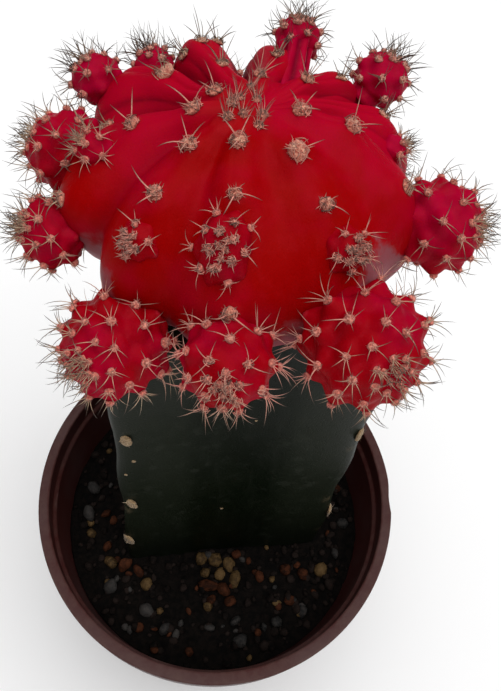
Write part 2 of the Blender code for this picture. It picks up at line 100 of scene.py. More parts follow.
# Scars on the stock's faces, as (azimuth, height in mm, radius in mm)
STOCK_SCARS = (
    (-133, 38, 0.35), (-135, 34, 0.28), (-86, 18, 0.30), (-70, 47, 0.22),
    (15, 25, 0.4), (60, 40, 0.3), (170, 20, 0.35), (140, 44, 0.3),
)
# Areoles on the stock's ribs, from the right front rib anticlockwise, as (height, turn from the rib's edge)
STOCK_AREOLES = (
    ((14 * MM, 0.0), (41 * MM, -0.02)),
    ((10 * MM, 0.0), (31 * MM, 0.0), (52 * MM, 0.0)),
    ((9 * MM, 0.03), (23.5 * MM, 0.05), (44.5 * MM, 0.06)),
)

# Head: its half axes, the flat where it is grafted, and its middle
HEAD_RADIUS = 20.3 * MM
HEAD_TOP = 14.2 * MM
HEAD_UNDER = 14 * MM
HEAD_SEAT = 12.4 * MM
HEAD_CENTRE = Vector((-1.1 * MM, 8.6 * MM, SOIL_LINE + STOCK_HEIGHT + SEAT_GAP + HEAD_SEAT))
HEAD_COLUMNS = 36
HEAD_ROWS = 150
# Swellings and fine relief of the head's skin, in layers like the stock's
HEAD_RELIEF = ((0.30, 7 * MM, 3.0), (0.08, 2.2 * MM, 9.0))
# How deep the crown's dimple is and the latitude of its edge; how many degrees from a pole the grooves fade
CROWN_DIMPLE = 0.05
CROWN_EDGE = 70
GROOVE_END = 35
GROOVE_FADE = 2.0
# Height below the head's middle where the withered flesh starts, made paler as painted light on the shaded
# underside
WITHERED_AND_LIT_UNDER = 5.0 * MM
TUBERCLE_HEIGHT = 0.7 * MM
TUBERCLE_SPREAD = radians(8)
SWELL_SPREAD = 18
# Upright pleats on the lobes behind the crown: how many to a rib, their depth, and where they fade in and out
PLEATS = 3
PLEAT_DEPTH = 0.5 * MM
PLEAT_LATITUDES = (-5, 12, 60, 75)
# The wide notch between the two lobes at the back: latitude, azimuth, depth and spread
NOTCH = (50, 102, 0.19)
NOTCH_SPREAD = radians(12)

# Ribs from the front anticlockwise: depth of the groove that follows, how far the rib swells and at which
# latitude, and the (latitude, azimuth) of the areoles on its crest, from the crown down
RIBS = (
    (0.05, 0.00, 30, ((67, -104), (47, -95), (12, -90), (-20, -92))),
    (0.06, 0.00, 30, ((62, -51), (41, -52), (6, -49), (-20, -50))),
    (0.07, 0.03, 24, ((72, 5), (51, 3), (27, -12), (-16, -6))),
    (0.11, 0.03, 28, ((31, 26), (6, 27), (-16, 26))),
    (0.15, 0.07, 40, ((61, 51), (45, 45), (22, 50), (0, 52), (-18, 52))),
    (0.25, 0.14, 42, ((70, 94), (48, 83), (22, 85), (-2, 87), (-20, 88))),
    (0.17, 0.17, 36, ((54, 121), (39, 121), (16, 119), (-4, 120), (-20, 120))),
    (0.14, 0.12, 26, ((71, 165), (44, 151), (28, 154), (2, 152), (-18, 151))),
    (0.11, 0.10, 15, ((64, 192), (41, 190), (14, 204), (-16, 196))),
    (0.07, 0.03, 20, ((56, 225), (37, 232), (0, 232), (-20, 230))),
)
# Areoles off the crests: loose ones, those on the lobes, and the crown's; the crown's wool and spines differ
LOOSE_AREOLES = ((26, 178), (79, -163), (74, -133), (84, -68), (78, 110))
LOBE_AREOLES = ((37, 130), (36, 113))
CROWN_AREOLES = ((80, -124), (81, 162), (84.5, 102), (78, -84))
CROWN_LATITUDE = 73
# How much larger or smaller than the usual an areole's wool is, and that of the rest and of the crown
WOOL_SIZES = {
    (62, -51): 1.35, (67, -104): 1.15, (72, 5): 1.15, (44, 151): 1.55, (56, 225): 1.15,
    (41, 190): 1.05, (64, 192): 1.05, (51, 3): 1.2, (47, -95): 0.8,
}
USUAL_WOOL = 0.95
CROWN_WOOL = 0.6

# Offsets: azimuth, latitude, distance from the head's middle and radius in mm, azimuth and rise of the tip
OFFSETS = {
    "low_left": (-121, -11, 23.5, 5.6, -119, 26),
    "low_front": (-89, -1, 22.6, 4.6, -90, 24),
    "low_right": (-53, 0.5, 23.5, 6.2, -66, 31),
    "right": (-7, 7, 22.6, 5.0, -25, 35),
    "left": (-157, 0, 23.0, 3.8, -150, 35),
    "back_left": (180, 11, 21.8, 4.5, -175, 25),
    "left_small": (-166, 27, 19.5, 2.1, -160, 50),
    "upper_left": (157, 22, 23.0, 2.9, 170, 50),
    "back": (139, 27, 19.9, 2.3, 140, 45),
    "top": (78, 36, 20.9, 2.7, 60, 80),
    "upper_right": (43, 28, 22.1, 3.2, 30, 62),
    "right_small": (14, 24, 18.0, 1.8, 10, 40),
    "front_left": (-125, 21, 18.3, 2.3, -125, 30),
    "front": (-95, 29, 18.0, 2.7, -95, 45),
    "front_right": (-50, 25, 18.1, 2.4, -50, 40),
    "rear": (106, -6, 22.4, 4.3, 105, 20),
    "rear_right": (38, -14, 21.6, 3.6, 40, 10),
    "rear_left": (148, -12, 21.8, 3.4, 150, 10),
}
# Cushions lie flat on the head with a woolly tip; brushes carry long, close spines
CUSHIONS = ("front_left", "front", "front_right")
CUSHION_STRETCH = 1.35
BRUSHES = ("top", "upper_right", "back", "upper_left")
OFFSET_BUMP = 0.15
OFFSET_COLUMNS = 104
OFFSET_ROWS = 72
FULL_SIZE_OFFSET = 6.4 * MM
# Columns and rings of tubercles on an offset, up to a radius in mm, and those of a cushion
OFFSET_GRIDS = ((2.3, 4, 6), (3.5, 5, 6), (5.3, 6, 8), (10.0, 7, 10))
CUSHION_GRID = (5, 7)
SMALL_OFFSET = 3.5 * MM
CLEAR_OF_HEAD = 0.5 * MM
# The stalk under the topmost offset: azimuth and latitude of its foot, how deep it stands, radius and flutes
STALK_FOOT = (70, 52)
STALK_SUNK = 2.8 * MM
STALK_RADIUS = 1.8 * MM
STALK_RIBS = 7
NECK_WIDTH = 0.62
NECK_SINK = 0.7 * MM

# Spines, as (length, radius) by where they stand, and the wool that they stand in
SPINE_SIDES = 4
SPINE_STEPS = 5
HEAD_WOOL_RADIUS = 0.86 * MM
OFFSET_WOOL_RADIUS = 0.48 * MM
FRONT_SPINE = (2.9 * MM, 0.075 * MM)
REAR_SPINE = (3.3 * MM, 0.06 * MM)
CROWN_SPINE = (2.3 * MM, 0.05 * MM)
DARK_CROWN_SPINE = (2.3 * MM, 0.04 * MM)
STOCK_SPINE = (1.2 * MM, 0.08 * MM)
BRISTLE = (0.8 * MM, 0.045 * MM)
OFFSET_SPINE = 2.7 * MM
SMALL_OFFSET_SPINE = 2.1 * MM
OFFSET_SPINE_RADIUS = 0.048 * MM
CURL_RADIUS = 0.04 * MM
CURLS = 14
OFFSET_CURLS = 8
FIBRE_RADIUS = 0.035 * MM
FIBRES = 80
CROWN_FIBRES = 30
OFFSET_FIBRES = 24
STOCK_FIBRES = 16
WOOL_PITS = 5
# From where on the head's spines are those of its far side; the middle of the rings in which spines age, and in
# which the outermost get painted shade
REAR_EDGE = HEAD_CENTRE.y + 4 * MM
SPINE_MIDDLE = (-1.1 * MM, -2 * MM, 0.0)
GOLDEN_TURN = radians(137.5)
SEED = 31

# Colours of the red skins (bright, crimson, deep, pale; deep is painted shade for the furrows), of the wool
# (pale, shade, bleached), of the spines (root, middle, tip, straw) and of withered flesh, made paler as painted
# light where it lies in shade
HEAD_REDS = ((0.29, 0.0, 0.0), (0.38, 0.0, 0.015), (0.12, 0.0, 0.006), (0.36, 0.005, 0.009))
OFFSET_REDS = ((0.30, 0.0, 0.004), (0.37, 0.0, 0.026), (0.12, 0.0, 0.010), (0.40, 0.015, 0.028))
AREOLE_WOOL = ((0.84, 0.32, 0.22), (0.42, 0.09, 0.06), (0.77, 0.46, 0.31))
OFFSET_WOOL = ((0.84, 0.26, 0.19), (0.38, 0.08, 0.06), (0.80, 0.39, 0.29))
STOCK_CORK = ((0.40, 0.27, 0.14), (0.22, 0.135, 0.065))
HORN = ((0.82, 0.31, 0.25), (0.64, 0.31, 0.24), (0.10, 0.075, 0.062), (0.56, 0.43, 0.28))
WITHERED_PINK_AND_PAINTED_LIGHT = (0.25, 0.062, 0.075)

# Lumps that the photo shows, each as (x, y, radius) in mm on the mix
TAN_STONES = ((-1.4, -9.6, 1.3), (1.2, -9.5, 1.4), (3.9, -10.0, 1.3), (-0.3, -11.9, 1.2), (2.4, -11.9, 1.2),
              (5.2, -12.4, 1.4), (-17.9, -12.3, 1.2), (-10.6, -15.2, 1.3), (1.0, -17.6, 1.1), (21.2, -8.8, 1.5),
              (-22.6, -7.6, 1.0))
BROWN_STONES = ((-15.2, -12.6, 1.5), (-12.6, -13.2, 1.3), (0.6, -14.4, 1.5), (3.4, -14.6, 1.5),
                (1.4, -16.4, 1.1), (4.9, -16.4, 1.2), (14.5, -9.6, 1.3), (17.9, -9.9, 1.2), (9.8, -11.4, 1.3),
                (-19.2, -9.6, 1.2))
GREY_STONES = ((-17.0, -16.4, 1.5), (-9.8, -19.6, 1.4), (-6.0, -22.2, 1.3), (1.8, -21.0, 1.0),
               (7.4, -22.4, 1.5), (6.2, -19.4, 1.2), (-24.2, 0.9, 1.4), (-24.0, -4.2, 1.5), (25.2, 0.5, 1.2),
               (23.9, -5.2, 1.2), (18.0, -16.4, 1.2), (13.6, -18.6, 1.3))
# Loose lumps as (piece, seed, material, its light and dark colour, roughness, grain scale, reach of the tones,
# count, range of sizes in mm, range of flatness, how far each is raised, and those that the photo shows)
LUMPS = (
    ("tan_grit", 11, "tan_stone", (0.075, 0.045, 0.018), (0.030, 0.017, 0.007), 0.65, 1500.0, 0.35,
     14, (0.45, 0.8), (0.7, 0.95), 0.25, TAN_STONES),
    ("bark_bits", 12, "brown_bark", (0.045, 0.014, 0.006), (0.012, 0.004, 0.002), 0.8, 1300.0, 0.3,
     40, (0.5, 1.1), (0.45, 0.8), 0.25, BROWN_STONES),
    ("grey_grit", 13, "grey_stone", (0.028, 0.025, 0.023), (0.010, 0.010, 0.010), 0.65, 1600.0, 0.4,
     34, (0.45, 1.0), (0.6, 0.9), 0.25, GREY_STONES),
    ("dark_crumbs", 14, "dark_crumb", (0.009, 0.006, 0.005), (0.002, 0.0016, 0.0014), 0.9, 1400.0, 0.6,
     420, (0.3, 0.95), (0.6, 0.95), 0.2, ()),
)

# Lights as (name, way towards it, how wide it looks, strength), and the strength of the surround
LIGHTS = (("overhead", (0.05, -0.05, 1.0), 1.3, 2.7), ("right", (0.8, -0.35, 0.75), 1.0, 0.5))
SURROUND_LIGHT = 0.17


class Forms:
    """Gathers many closed forms into one mesh, with a tone from 0 to 1 at every point."""

    def __init__(self):
        self.points = []
        self.faces = []
        self.tones = []

    def add(self, points, faces, tones):
        first = len(self.points)
        self.points.extend(points)
        self.faces.extend([tuple(first + i for i in face) for face in faces])
        self.tones.extend(tones)

    def piece(self, name, material):
        return mesh_piece(name, self.points, self.faces, material, self.tones)


def new_object(name, data):
    """An object with its data, linked into the scene."""
    obj = bpy.data.objects.new(name, data)
    bpy.context.scene.collection.objects.link(obj)
    return obj


def mesh_piece(name, points, faces, material, tones=None):
    """A piece of the cactus, smooth shaded, that rides on the part's one body."""
    mesh = bpy.data.meshes.new(name)
    mesh.from_pydata([tuple(point) for point in points], [], faces)
    mesh.shade_smooth()
    mesh.materials.append(material)
    if tones is not None:
        layer = mesh.attributes.new("tone", "FLOAT", "POINT")
        layer.data.foreach_set("value", np.asarray(tones, np.float32))
    obj = new_object(name, mesh)
    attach(obj, BODY)
    return obj


def closed_surface(rows, start, end):
    """Points and faces of a closed form: rows of points round it, between a point at its start and its end."""
    rows = np.asarray(rows)
    count, columns = rows.shape[:2]
    points = [tuple(start)] + [tuple(point) for point in rows.reshape(-1, 3)] + [tuple(end)]
    last = len(points) - 1
    faces = []
    for k in range(columns):
        after = (k + 1) % columns
        faces.append((0, 1 + after, 1 + k))
        faces.append((last, last - columns + k, last - columns + after))
        for i in range(count - 1):
            here = 1 + i * columns
            faces.append((here + k, here + after, here + columns + after, here + columns + k))
    return points, faces


def direction(azimuth, latitude):
    """A unit vector from an azimuth and a latitude in degrees."""
    az, lat = radians(azimuth), radians(latitude)
    return Vector((cos(az) * cos(lat), sin(az) * cos(lat), sin(lat)))


def directions(azimuths, latitudes):
    """Unit vectors as rows of an array, from azimuths and latitudes in degrees."""
    az, lat = np.radians(azimuths), np.radians(latitudes)
    return np.stack([np.cos(az) * np.cos(lat), np.sin(az) * np.cos(lat), np.sin(lat) + 0 * az], -1)


def level_ring(azimuths, radii, height, middle=(0.0, 0.0)):
    """A level ring of points, at azimuths in radians, with radii from its middle."""
    return np.stack([middle[0] + radii * np.cos(azimuths), middle[1] + radii * np.sin(azimuths),
                     np.full_like(azimuths, height)], -1)


def angles_from(ways, way):
    """Angles between the unit vectors of an array and one more."""
    return np.arccos(np.clip(ways @ np.array(way), -1, 1))


def square_to(axis):
    """Two unit vectors square to an axis and to each other."""
    side = axis.orthogonal().normalized()
    return side, axis.cross(side)


def turned_way(side, across, turn):
    """The unit vector at a turn from one side towards the one across."""
    return side * cos(turn) + across * sin(turn)


def clamped(value):
    """A value kept from 0 to 1."""
    return min(max(value, 0.0), 1.0)


def eased(share):
    """A share from 0 to 1 that starts and ends slowly."""
    return share * share * (3 - 2 * share)


def random_vector(rng, low, high):
    """Three random numbers as a vector."""
    return Vector([rng.uniform(low, high) for _ in range(3)])


def roughness_at(points, size, seed):
    """Noise from about -1 to 1 at every point of an array, with lumps of a given size."""
    flat = np.asarray(points).reshape(-1, 3)
    shift = Vector((seed, 0.7 * seed, 1.3 * seed))
    values = [noise.noise(Vector(point) / size + shift) for point in flat]
    return np.array(values).reshape(np.asarray(points).shape[:-1])


def uneven(points, layers):
    """Summed noise at every point of an array, from layers of (height, size of the lumps, seed)."""
    return sum(height * roughness_at(points, size, seed) for height, size, seed in layers)


def surface_tree(*objs):
    """One search tree over the faces of several pieces."""
    points, faces = [], []
    for obj in objs:
        first = len(points)
        points.extend(vert.co.copy() for vert in obj.data.vertices)
        faces.extend([first + i for i in poly.vertices] for poly in obj.data.polygons)
    return BVHTree.FromPolygons(points, faces)


def feed(node, values):
    """Sets or links inputs of a node, by name or number; a colour is given as three numbers."""
    for key, value in values.items():
        socket = node.inputs[key]
        if isinstance(value, bpy.types.NodeSocket):
            node.id_data.links.new(value, socket)
        elif socket.type == "RGBA":
            socket.default_value = (*value, 1.0)
        else:
            socket.default_value = value


def add_node(tree, kind, values, **settings):
    """A node with its settings, and values or links for its inputs."""
    made = tree.nodes.new(kind)
    for key, value in settings.items():
        setattr(made, key, value)
    feed(made, values)
    return made


def object_place(tree):
    return add_node(tree, "ShaderNodeTexCoord", {}).outputs["Object"]


def axis_of(tree, vector, axis):
    return add_node(tree, "ShaderNodeSeparateXYZ", {"Vector": vector}).outputs[axis]


def calc(tree, operation, *values):
    return add_node(tree, "ShaderNodeMath", dict(enumerate(values)), operation=operation).outputs["Value"]


def times(tree, first, second):
    return calc(tree, "MULTIPLY", first, second)


def vector_calc(tree, operation, *values, result="Vector"):
    return add_node(tree, "ShaderNodeVectorMath", dict(enumerate(values)), operation=operation).outputs[result]


def ranged(tree, value, low, high, to_low=0.0, to_high=1.0, ease="SMOOTHSTEP"):
    """A value spread from one range to another, smoothly unless told otherwise."""
    return add_node(tree, "ShaderNodeMapRange", {
        "Value": value, "From Min": low, "From Max": high, "To Min": to_low, "To Max": to_high,
    }, interpolation_type=ease).outputs["Result"]


def cloudy(tree, place, scale, detail, roughness):
    """Layered noise from 0 to 1."""
    return add_node(tree, "ShaderNodeTexNoise", {
        "Vector": place, "Scale": scale, "Detail": detail, "Roughness": roughness,
    }).outputs["Fac"]


def mixed(tree, share, first, second):
    """Two colours mixed by a share."""
    return add_node(tree, "ShaderNodeMix", {0: share, 6: first, 7: second}, data_type="RGBA").outputs[2]


def layered(tree, ground, *layers):
    """A colour with others laid over it in turn, each as (share, colour)."""
    for share, colour in layers:
        ground = mixed(tree, share, ground, colour)
    return ground


def new_group(name, output, **inputs):
    """An empty node group: itself, its inputs with their defaults, and its one output."""
    group = bpy.data.node_groups.new(name, "ShaderNodeTree")
    for label, default in inputs.items():
        socket = group.interface.new_socket(
            name=label.replace("_", " "), in_out="INPUT", socket_type="NodeSocketFloat")
        socket.default_value = default
    group.interface.new_socket(name=output, in_out="OUTPUT", socket_type="NodeSocketFloat")
    given = group.nodes.new("NodeGroupInput").outputs
    return group, given, group.nodes.new("NodeGroupOutput")


def blotch_group():
    """Soft blotches: a mask from 0 to 1 out of layered noise, between two levels."""
    group, given, result = new_group("blotches", "Mask", Scale=200.0, From=0.35, To=0.65, Detail=3.0)
    cloud = cloudy(group, object_place(group), given["Scale"], given["Detail"], 0.6)
    feed(result, {"Mask": ranged(group, cloud, given["From"], given["To"])})
    return group


def streak_group():
    """Long faint streaks that run up and down: a mask from 0 to 1."""
    group, given, result = new_group("streaks", "Mask", Scale=900.0)
    drawn_out = vector_calc(group, "MULTIPLY", object_place(group), (1.0, 1.0, 0.12))
    feed(result, {"Mask": ranged(group, cloudy(group, drawn_out, given["Scale"], 3.0, 0.6), 0.48, 0.72)})
    return group


def pore_group():
    """Fine relief of a skin or a moulded surface: grain mixed with small round pores."""
    group, given, result = new_group("pores", "Height", Grain_Scale=3000.0, Pore_Scale=2500.0, Pore_Share=0.4)
    place = object_place(group)
    grain = cloudy(group, place, given["Grain Scale"], 4.0, 0.65)
    pores = add_node(group, "ShaderNodeTexVoronoi", {"Vector": place, "Scale": given["Pore Scale"]})
    round_pores = ranged(group, pores.outputs["Distance"], 0.05, 0.45)
    both = add_node(group, "ShaderNodeMix", {"Factor": given["Pore Share"], "A": grain, "B": round_pores})
    feed(result, {"Height": both.outputs["Result"]})
    return group


def dust_group():
    """Dust and dried splashes that settle on what faces up: a mask from 0 to 1."""
    group, given, result = new_group("settled_dust", "Mask", Amount=0.5, Scale=900.0)
    facing = axis_of(group, add_node(group, "ShaderNodeNewGeometry", {}).outputs["Normal"], "Z")
    specks = cloudy(group, object_place(group), given["Scale"], 6.0, 0.7)
    lying = times(group, ranged(group, facing, 0.1, 1.0, ease="LINEAR"),
                 ranged(group, specks, 0.42, 0.7, ease="LINEAR"))
    feed(result, {"Mask": times(group, lying, given["Amount"])})
    return group


BLOTCHES = blotch_group()
STREAKS = streak_group()
PORES = pore_group()
DUST = dust_group()


def use_group(tree, group, **values):
    """A shared group placed in a material with its own values."""
    made = add_node(tree, "ShaderNodeGroup", {}, node_tree=group)
    feed(made, {key.replace("_", " "): value for key, value in values.items()})
    return made.outputs[0]


def blotches(tree, scale, low, high, detail=3.0):
    return use_group(tree, BLOTCHES, Scale=scale, From=low, To=high, Detail=detail)


def new_material(name):
    """A material with a plain Principled shader: its tree and that shader."""
    material = bpy.data.materials.new(name)
    material.use_nodes = True
    return material, material.node_tree, material.node_tree.nodes["Principled BSDF"]


def tone_of(tree):
    """The tone that the mesh holds at every point."""
    return add_node(tree, "ShaderNodeAttribute", {}, attribute_name="tone").outputs["Fac"]


def relief(tree, height, distance):
    bump = add_node(tree, "ShaderNodeBump", {"Height": height, "Distance": distance, "Strength": 1.0})
    return bump.outputs["Normal"]


def pore_relief(tree, grain_scale, pore_scale, pore_share, distance):
    pores = use_group(tree, PORES, Grain_Scale=grain_scale, Pore_Scale=pore_scale, Pore_Share=pore_share)
    return relief(tree, pores, distance)


def withered_and_lit_mask(tree, place, height):
    """Where old flesh has withered, made paler as painted light where it lies in shade: below a height with a
    ragged edge, and further up on its front flanks.
    """
    x = axis_of(tree, place, "X")
    aside = calc(tree, "ABSOLUTE", calc(tree, "SUBTRACT", x, HEAD_CENTRE.x))
    flank = ranged(tree, aside, 11 * MM, 13 * MM, 5 * MM, 10 * MM)
    front = ranged(tree, axis_of(tree, place, "Y"), 3 * MM, -1 * MM)
    slanted = calc(tree, "MULTIPLY_ADD", x, -0.16, axis_of(tree, place, "Z"))
    ragged = ranged(tree, blotches(tree, 420, 0.3, 0.7, 4), 0.0, 1.0, -0.5 * MM, 2 * MM)
    level = calc(tree, "SUBTRACT", slanted, times(tree, flank, front))
    return ranged(tree, calc(tree, "ADD", level, ragged), height + 1.4 * MM, height - 1.8 * MM)


def red_flesh(name, bright, crimson, deep, pale, withered_and_lit_below=None):
    """Skin without green: scarlet in front, crimson behind, deep red in the furrows and folds as painted shade,
    pinker round the wool, and greyish pink where it withers below a height, made paler there as painted light
    on the shaded underside."""
    material, tree, shader = new_material(name)
    tone, place = tone_of(tree), object_place(tree)
    cloud = blotches(tree, 90, 0.3, 0.7)
    behind = ranged(tree, axis_of(tree, place, "Y"), -8 * MM, 22 * MM)
    patchy = calc(tree, "ADD", behind, cloud)
    ground = layered(
        tree, bright,
        (ranged(tree, patchy, 0.2, 1.5), crimson),
        # Painted shade: the deep colour darkens the furrows, pleats and flutes, where the tone is low
        (ranged(tree, tone, 0.55, 0.0), deep),
        (ranged(tree, tone, 0.9, 1.0, 0.0, 0.55), pale),
        (times(tree, blotches(tree, 2600, 0.62, 0.72, 1), 0.10), pale),
        (times(tree, use_group(tree, STREAKS, Scale=650.0), 0.22), pale),
    )
    # Withered flesh, made paler as painted light where the underside and flanks lie in shade
    if withered_and_lit_below:
        ground = mixed(tree, withered_and_lit_mask(tree, place, withered_and_lit_below), ground, WITHERED_PINK_AND_PAINTED_LIGHT)
    feed(shader, {
        "Base Color": ground, "Roughness": ranged(tree, cloud, 0.0, 1.0, 0.42, 0.55),
        "Specular IOR Level": 0.03, "Subsurface Weight": 0.12, "Subsurface Radius": (1.0, 0.12, 0.08),
        "Subsurface Scale": 0.9 * MM, "Normal": pore_relief(tree, 1800, 3200, 0.35, 0.04 * MM),
    })
    return material


def stock_skin():
    """Dark green waxy skin with a grey bloom, brown cork on the rib edges, and painted shade darkening it near
    the soil.
    """
    material, tree, shader = new_material("stock_skin")
    tone = tone_of(tree)
    bloom_grey = (0.020, 0.023, 0.016)
    bloom = blotches(tree, 420, 0.5, 0.8)
    height = axis_of(tree, object_place(tree), "Z")
    cork = ranged(tree, tone, 0.55, 0.95)
    ground = layered(
        tree, (0.0022, 0.0045, 0.0015),
        (blotches(tree, 70, 0.35, 0.7), (0.0045, 0.007, 0.003)),
        (times(tree, bloom, ranged(tree, tone, 0.0, 0.5, 0.25, 0.8)), bloom_grey),
        (ranged(tree, tone, 0.1, 0.5, 0.0, 0.5), (0.017, 0.021, 0.013)),
        (times(tree, use_group(tree, STREAKS, Scale=420.0), 0.2), bloom_grey),
        # Painted shade: darker towards the soil, where the head's shadow falls
        (ranged(tree, height, SOIL_LINE + 16 * MM, SOIL_LINE, 0.0, 0.6), (0.0012, 0.0022, 0.0008)),
        (times(tree, cork, blotches(tree, 600, 0.3, 0.6)), (0.22, 0.16, 0.09)),
    )
    feed(shader, {
        "Base Color": ground, "Roughness": ranged(tree, bloom, 0.0, 1.0, 0.42, 0.62),
        "Specular IOR Level": 0.10, "Normal": pore_relief(tree, 1400, 2400, 0.5, 0.05 * MM),
    })
    return material


def wool_felt(name, pale, shade, bleached=None):
    """Short matted wool with dark pits; its middle, and all of it on the far side, may have bleached."""
    material, tree, shader = new_material(name)
    tone = tone_of(tree)
    tufts = blotches(tree, 4200, 0.32, 0.66, 4)
    if bleached:
        depth = axis_of(tree, object_place(tree), "Y")
        far = ranged(tree, depth, HEAD_CENTRE.y + 2 * MM, HEAD_CENTRE.y + 10 * MM)
        pale = mixed(tree, calc(tree, "MAXIMUM", far, ranged(tree, tone, 0.66, 0.92)), pale, bleached)
    ground = layered(
        tree, shade,
        (tufts, pale),
        (ranged(tree, tone, 0.6, 0.25, 0.0, 0.8), shade),
        (ranged(tree, tone, 0.12, 0.0), tuple(0.2 * value for value in shade)),
    )
    feed(shader, {
        "Base Color": ground, "Roughness": ranged(tree, tufts, 0.0, 1.0, 0.8, 0.95), "Specular IOR Level": 0.15,
        "Sheen Weight": 0.25, "Normal": relief(tree, tufts, 0.07 * MM),
    })
    return material


def spine_horn(name, root, middle, tip, straw):
    """Horn-like spines, pinkish at the root and along the middle and grey-brown at the tip; those low down and
    outside are straw-coloured, and the outermost are darkened along their length as painted shade."""
    material, tree, shader = new_material(name)
    tone, place = tone_of(tree), object_place(tree)
    low = ranged(tree, axis_of(tree, place, "Z"), HEAD_CENTRE.z - 2 * MM, HEAD_CENTRE.z - 7 * MM)
    in_plan = vector_calc(tree, "MULTIPLY", vector_calc(tree, "SUBTRACT", place, SPINE_MIDDLE), (1.0, 1.0, 0.0))
    away = vector_calc(tree, "LENGTH", in_plan, result="Value")
    aged = calc(tree, "MAXIMUM", low, ranged(tree, away, 15 * MM, 21 * MM, 0.0, 0.85))
    streaks = blotches(tree, 1500, 0.4, 0.7)
    outermost = ranged(tree, away, 16 * MM, 21.5 * MM)
    # Painted shade: the outermost spines darken along their length
    painted_outer_shade = times(tree, outermost, ranged(tree, tone, 0.2, 0.7, 0.1, 0.95))
    ground = layered(
        tree, root,
        (ranged(tree, tone, 0.0, 0.45), middle),
        (aged, straw),
        (ranged(tree, tone, 0.35, 0.95), tip),
        (times(tree, streaks, 0.4), tip),
        (painted_outer_shade, tuple(0.7 * value for value in tip)),
    )
    feed(shader, {
        "Base Color": ground, "Roughness": ranged(tree, streaks, 0.0, 1.0, 0.4, 0.6), "Specular IOR Level": 0.2,
    })
    return material


def pot_plastic():
    """Dull brown-mauve moulded plastic, rubbed paler on its edges, with a little dust and dried water marks."""
    material, tree, shader = new_material("pot_plastic")
    edges = add_node(tree, "ShaderNodeNewGeometry", {}).outputs["Pointiness"]
    rub = times(tree, ranged(tree, edges, 0.51, 0.56), blotches(tree, 500, 0.35, 0.65))
    dust = use_group(tree, DUST, Amount=0.28, Scale=700.0)
    ground = layered(
        tree, (0.050, 0.012, 0.0105),
        (blotches(tree, 45, 0.38, 0.62), (0.062, 0.026, 0.0245)),
        (times(tree, rub, 0.6), (0.13, 0.08, 0.072)),
        (dust, (0.13, 0.085, 0.07)),
    )
    feed(shader, {
        "Base Color": ground, "Roughness": ranged(tree, dust, 0.0, 0.5, 0.42, 0.75), "Specular IOR Level": 0.15,
        "Normal": pore_relief(tree, 2200, 900, 0.1, 0.03 * MM),
    })
    return material


def grainy(name, light, dark, roughness, scale, tone_reach=0.0):
    """A mineral or bark finish: two colours in grains, and lumps that differ by their own tone."""
    material, tree, shader = new_material(name)
    grains = blotches(tree, scale, 0.38, 0.64, 5)
    ground = mixed(tree, grains, dark, light)
    if tone_reach:
        lump = ranged(tree, tone_of(tree), 0.0, 1.0, 0.0, tone_reach)
        ground = mixed(tree, lump, ground, tuple(min(1.0, 2.2 * value) for value in light))
    roughest = min(1.0, roughness + 0.12)
    feed(shader, {
        "Base Color": ground, "Roughness": ranged(tree, grains, 0.0, 1.0, roughness, roughest),
        "Specular IOR Level": 0.07, "Normal": pore_relief(tree, scale * 1.4, scale, 0.3, 0.12 * MM),
    })
    return material


def wall_inner_radius(height):
    """Radius of the pot's inner wall, which tapers evenly from under the rim to the floor."""
    top = RIM_RADIUS - RIM_WIDTH - RIM_STEP
    share = (height - FLOOR) / (POT_HEIGHT - RIM_DEPTH - FLOOR)
    return (BASE_RADIUS - WALL) * (1 - share) + top * share


def rounded(profile, corners):
    """A profile with its corners turned into short arcs, by a radius for each point, or 0."""
    result = []
    for i, (point, radius) in enumerate(zip(profile, corners)):
        if radius == 0:
            result.append(point)
            continue
        here = Vector(point)
        before = Vector(profile[i - 1]) - here
        after = Vector(profile[i + 1]) - here
        reach = min(radius, 0.45 * before.length, 0.45 * after.length)
        start = here + before.normalized() * reach
        stop = here + after.normalized() * reach
        for step in range(CORNER_STEPS + 1):
            share = step / CORNER_STEPS
            result.append(tuple(start.lerp(here, share).lerp(here.lerp(stop, share), share)))
    return result


def cut_drains(pot):
    """Cuts the round drain holes in the pot's floor."""
    bm = bmesh.new()
    for i in range(DRAIN_HOLES):
        turn = tau * (i + 0.5) / DRAIN_HOLES
        place = Matrix.Translation((DRAIN_CIRCLE * cos(turn), DRAIN_CIRCLE * sin(turn), FLOOR / 2))
        bmesh.ops.create_cone(bm, cap_ends=True, segments=32, radius1=DRAIN_RADIUS, radius2=DRAIN_RADIUS,
                              depth=4 * FLOOR, matrix=place)
    mesh = bpy.data.meshes.new("drain_cutter")
    bm.to_mesh(mesh)
    bm.free()
    cutter = new_object("drain_cutter", mesh)
    cut = pot.modifiers.new("drains", "BOOLEAN")
    cut.operation = "DIFFERENCE"
    cut.object = cutter
    cut.solver = "EXACT"
    pot.data = bpy.data.meshes.new_from_object(pot.evaluated_get(bpy.context.evaluated_depsgraph_get()))
    pot.modifiers.clear()
    bpy.data.objects.remove(cutter)


